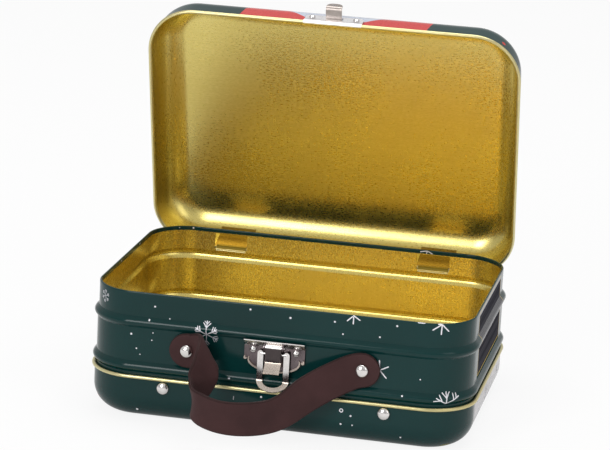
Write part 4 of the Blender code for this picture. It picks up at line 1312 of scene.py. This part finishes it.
def make_floor():
    """A pale floor that keeps the shadow and looks almost white straight on."""
    shape = bmesh.new()
    bmesh.ops.create_grid(shape, x_segments=2, y_segments=2, size=30.0 / MM)
    made, tree, shader = new_material("floor_white")
    floor = new_object("floor", shape, (made,))
    tree.nodes.clear()
    output = tree.nodes.new("ShaderNodeOutputMaterial")
    diffuse = node(tree, "ShaderNodeBsdfDiffuse", Color=(0.82, 0.82, 0.82, 1.0))
    glow = node(tree, "ShaderNodeEmission", Color=(1.0, 1.0, 1.0, 1.0), Strength=1.0)
    direct, reflected = ray_kinds(tree)
    share = math_node(tree, "MAXIMUM", times(tree, direct, 0.88), times(tree, reflected, 0.3))
    mixer = tree.nodes.new("ShaderNodeMixShader")
    tree.links.new(share, mixer.inputs[0])
    tree.links.new(diffuse.outputs[0], mixer.inputs[1])
    tree.links.new(glow.outputs[0], mixer.inputs[2])
    tree.links.new(mixer.outputs[0], output.inputs[0])


def make_world():
    """A pale studio: white overhead, a little darker low down in front."""
    world = bpy.data.worlds.new("studio")
    bpy.context.scene.world = world
    world.use_nodes = True
    tree = world.node_tree
    tree.nodes.clear()
    output = tree.nodes.new("ShaderNodeOutputWorld")
    background = node(tree, "ShaderNodeBackground", Strength=1.0)
    coords = tree.nodes.new("ShaderNodeTexCoord")
    split = tree.nodes.new("ShaderNodeSeparateXYZ")
    tree.links.new(coords.outputs["Generated"], split.inputs[0])
    front = remap(tree, times(tree, split.outputs[1], -1.0), -0.2, 0.9, 0.0, 1.0)
    low = remap(tree, split.outputs[2], 0.05, 0.75, 1.0, 0.0)
    dim = times(tree, front, low)
    colour = mix_colour(tree, dim, (0.54, 0.54, 0.54), (0.2, 0.2, 0.21))
    direct, reflected = ray_kinds(tree)
    mirrored = times(tree, reflected, 0.25)
    final = mix_colour(tree, math_node(tree, "MAXIMUM", direct, mirrored), colour, (1.0, 1.0, 1.0))
    tree.links.new(final, background.inputs[0])
    tree.links.new(background.outputs[0], output.inputs[0])


def area_light(name, place_at, target, size, power):
    data = bpy.data.lights.new(name, "AREA")
    data.shape = "RECTANGLE"
    data.size, data.size_y = size
    data.energy = power
    lamp = bpy.data.objects.new(name, data)
    lamp.location = place_at
    lamp.rotation_euler = (Vector(target) - Vector(place_at)).to_track_quat("-Z", "Y").to_euler()
    bpy.context.scene.collection.objects.link(lamp)
    return lamp


def make_camera():
    """The photograph's view: its place, direction, roll and focal length were fitted to the tin's rims."""
    azimuth, elevation, roll = (math.radians(a) for a in (11.21, 14.70, 2.95))
    level = math.cos(elevation)
    back = Vector((math.sin(azimuth) * level, -math.cos(azimuth) * level, math.sin(elevation)))
    right = (-back).cross(Vector((0.0, 0.0, 1.0))).normalized()
    up = right.cross(-back)
    turned_right = math.cos(roll) * right + math.sin(roll) * up
    turned_up = -math.sin(roll) * right + math.cos(roll) * up
    data = bpy.data.cameras.new("camera")
    data.sensor_width = 36.0
    data.lens = 160.85
    data.shift_x = -0.0049
    data.clip_start = 0.05
    data.clip_end = 100.0
    camera = bpy.data.objects.new("camera", data)
    bpy.context.scene.collection.objects.link(camera)
    camera.matrix_world = Matrix((
        (turned_right.x, turned_up.x, back.x, 0.27114),
        (turned_right.y, turned_up.y, back.y, -1.36959),
        (turned_right.z, turned_up.z, back.z, 0.46112),
        (0.0, 0.0, 0.0, 1.0)))
    bpy.context.scene.camera = camera


make_floor()
make_world()
area_light("key", (-0.53, -1.42, 0.70), (0.0, 0.0, 0.08), (0.55, 0.9), 10.5)
area_light("fill", (1.5, -1.0, 0.9), (0.0, 0.0, 0.08), (0.8, 1.2), 3.5)
area_light("top", (0.0, 0.3, 1.9), (0.0, 0.0, 0.08), (1.4, 1.0), 18.0)
make_camera()
bpy.context.scene.view_settings.view_transform = "Standard"
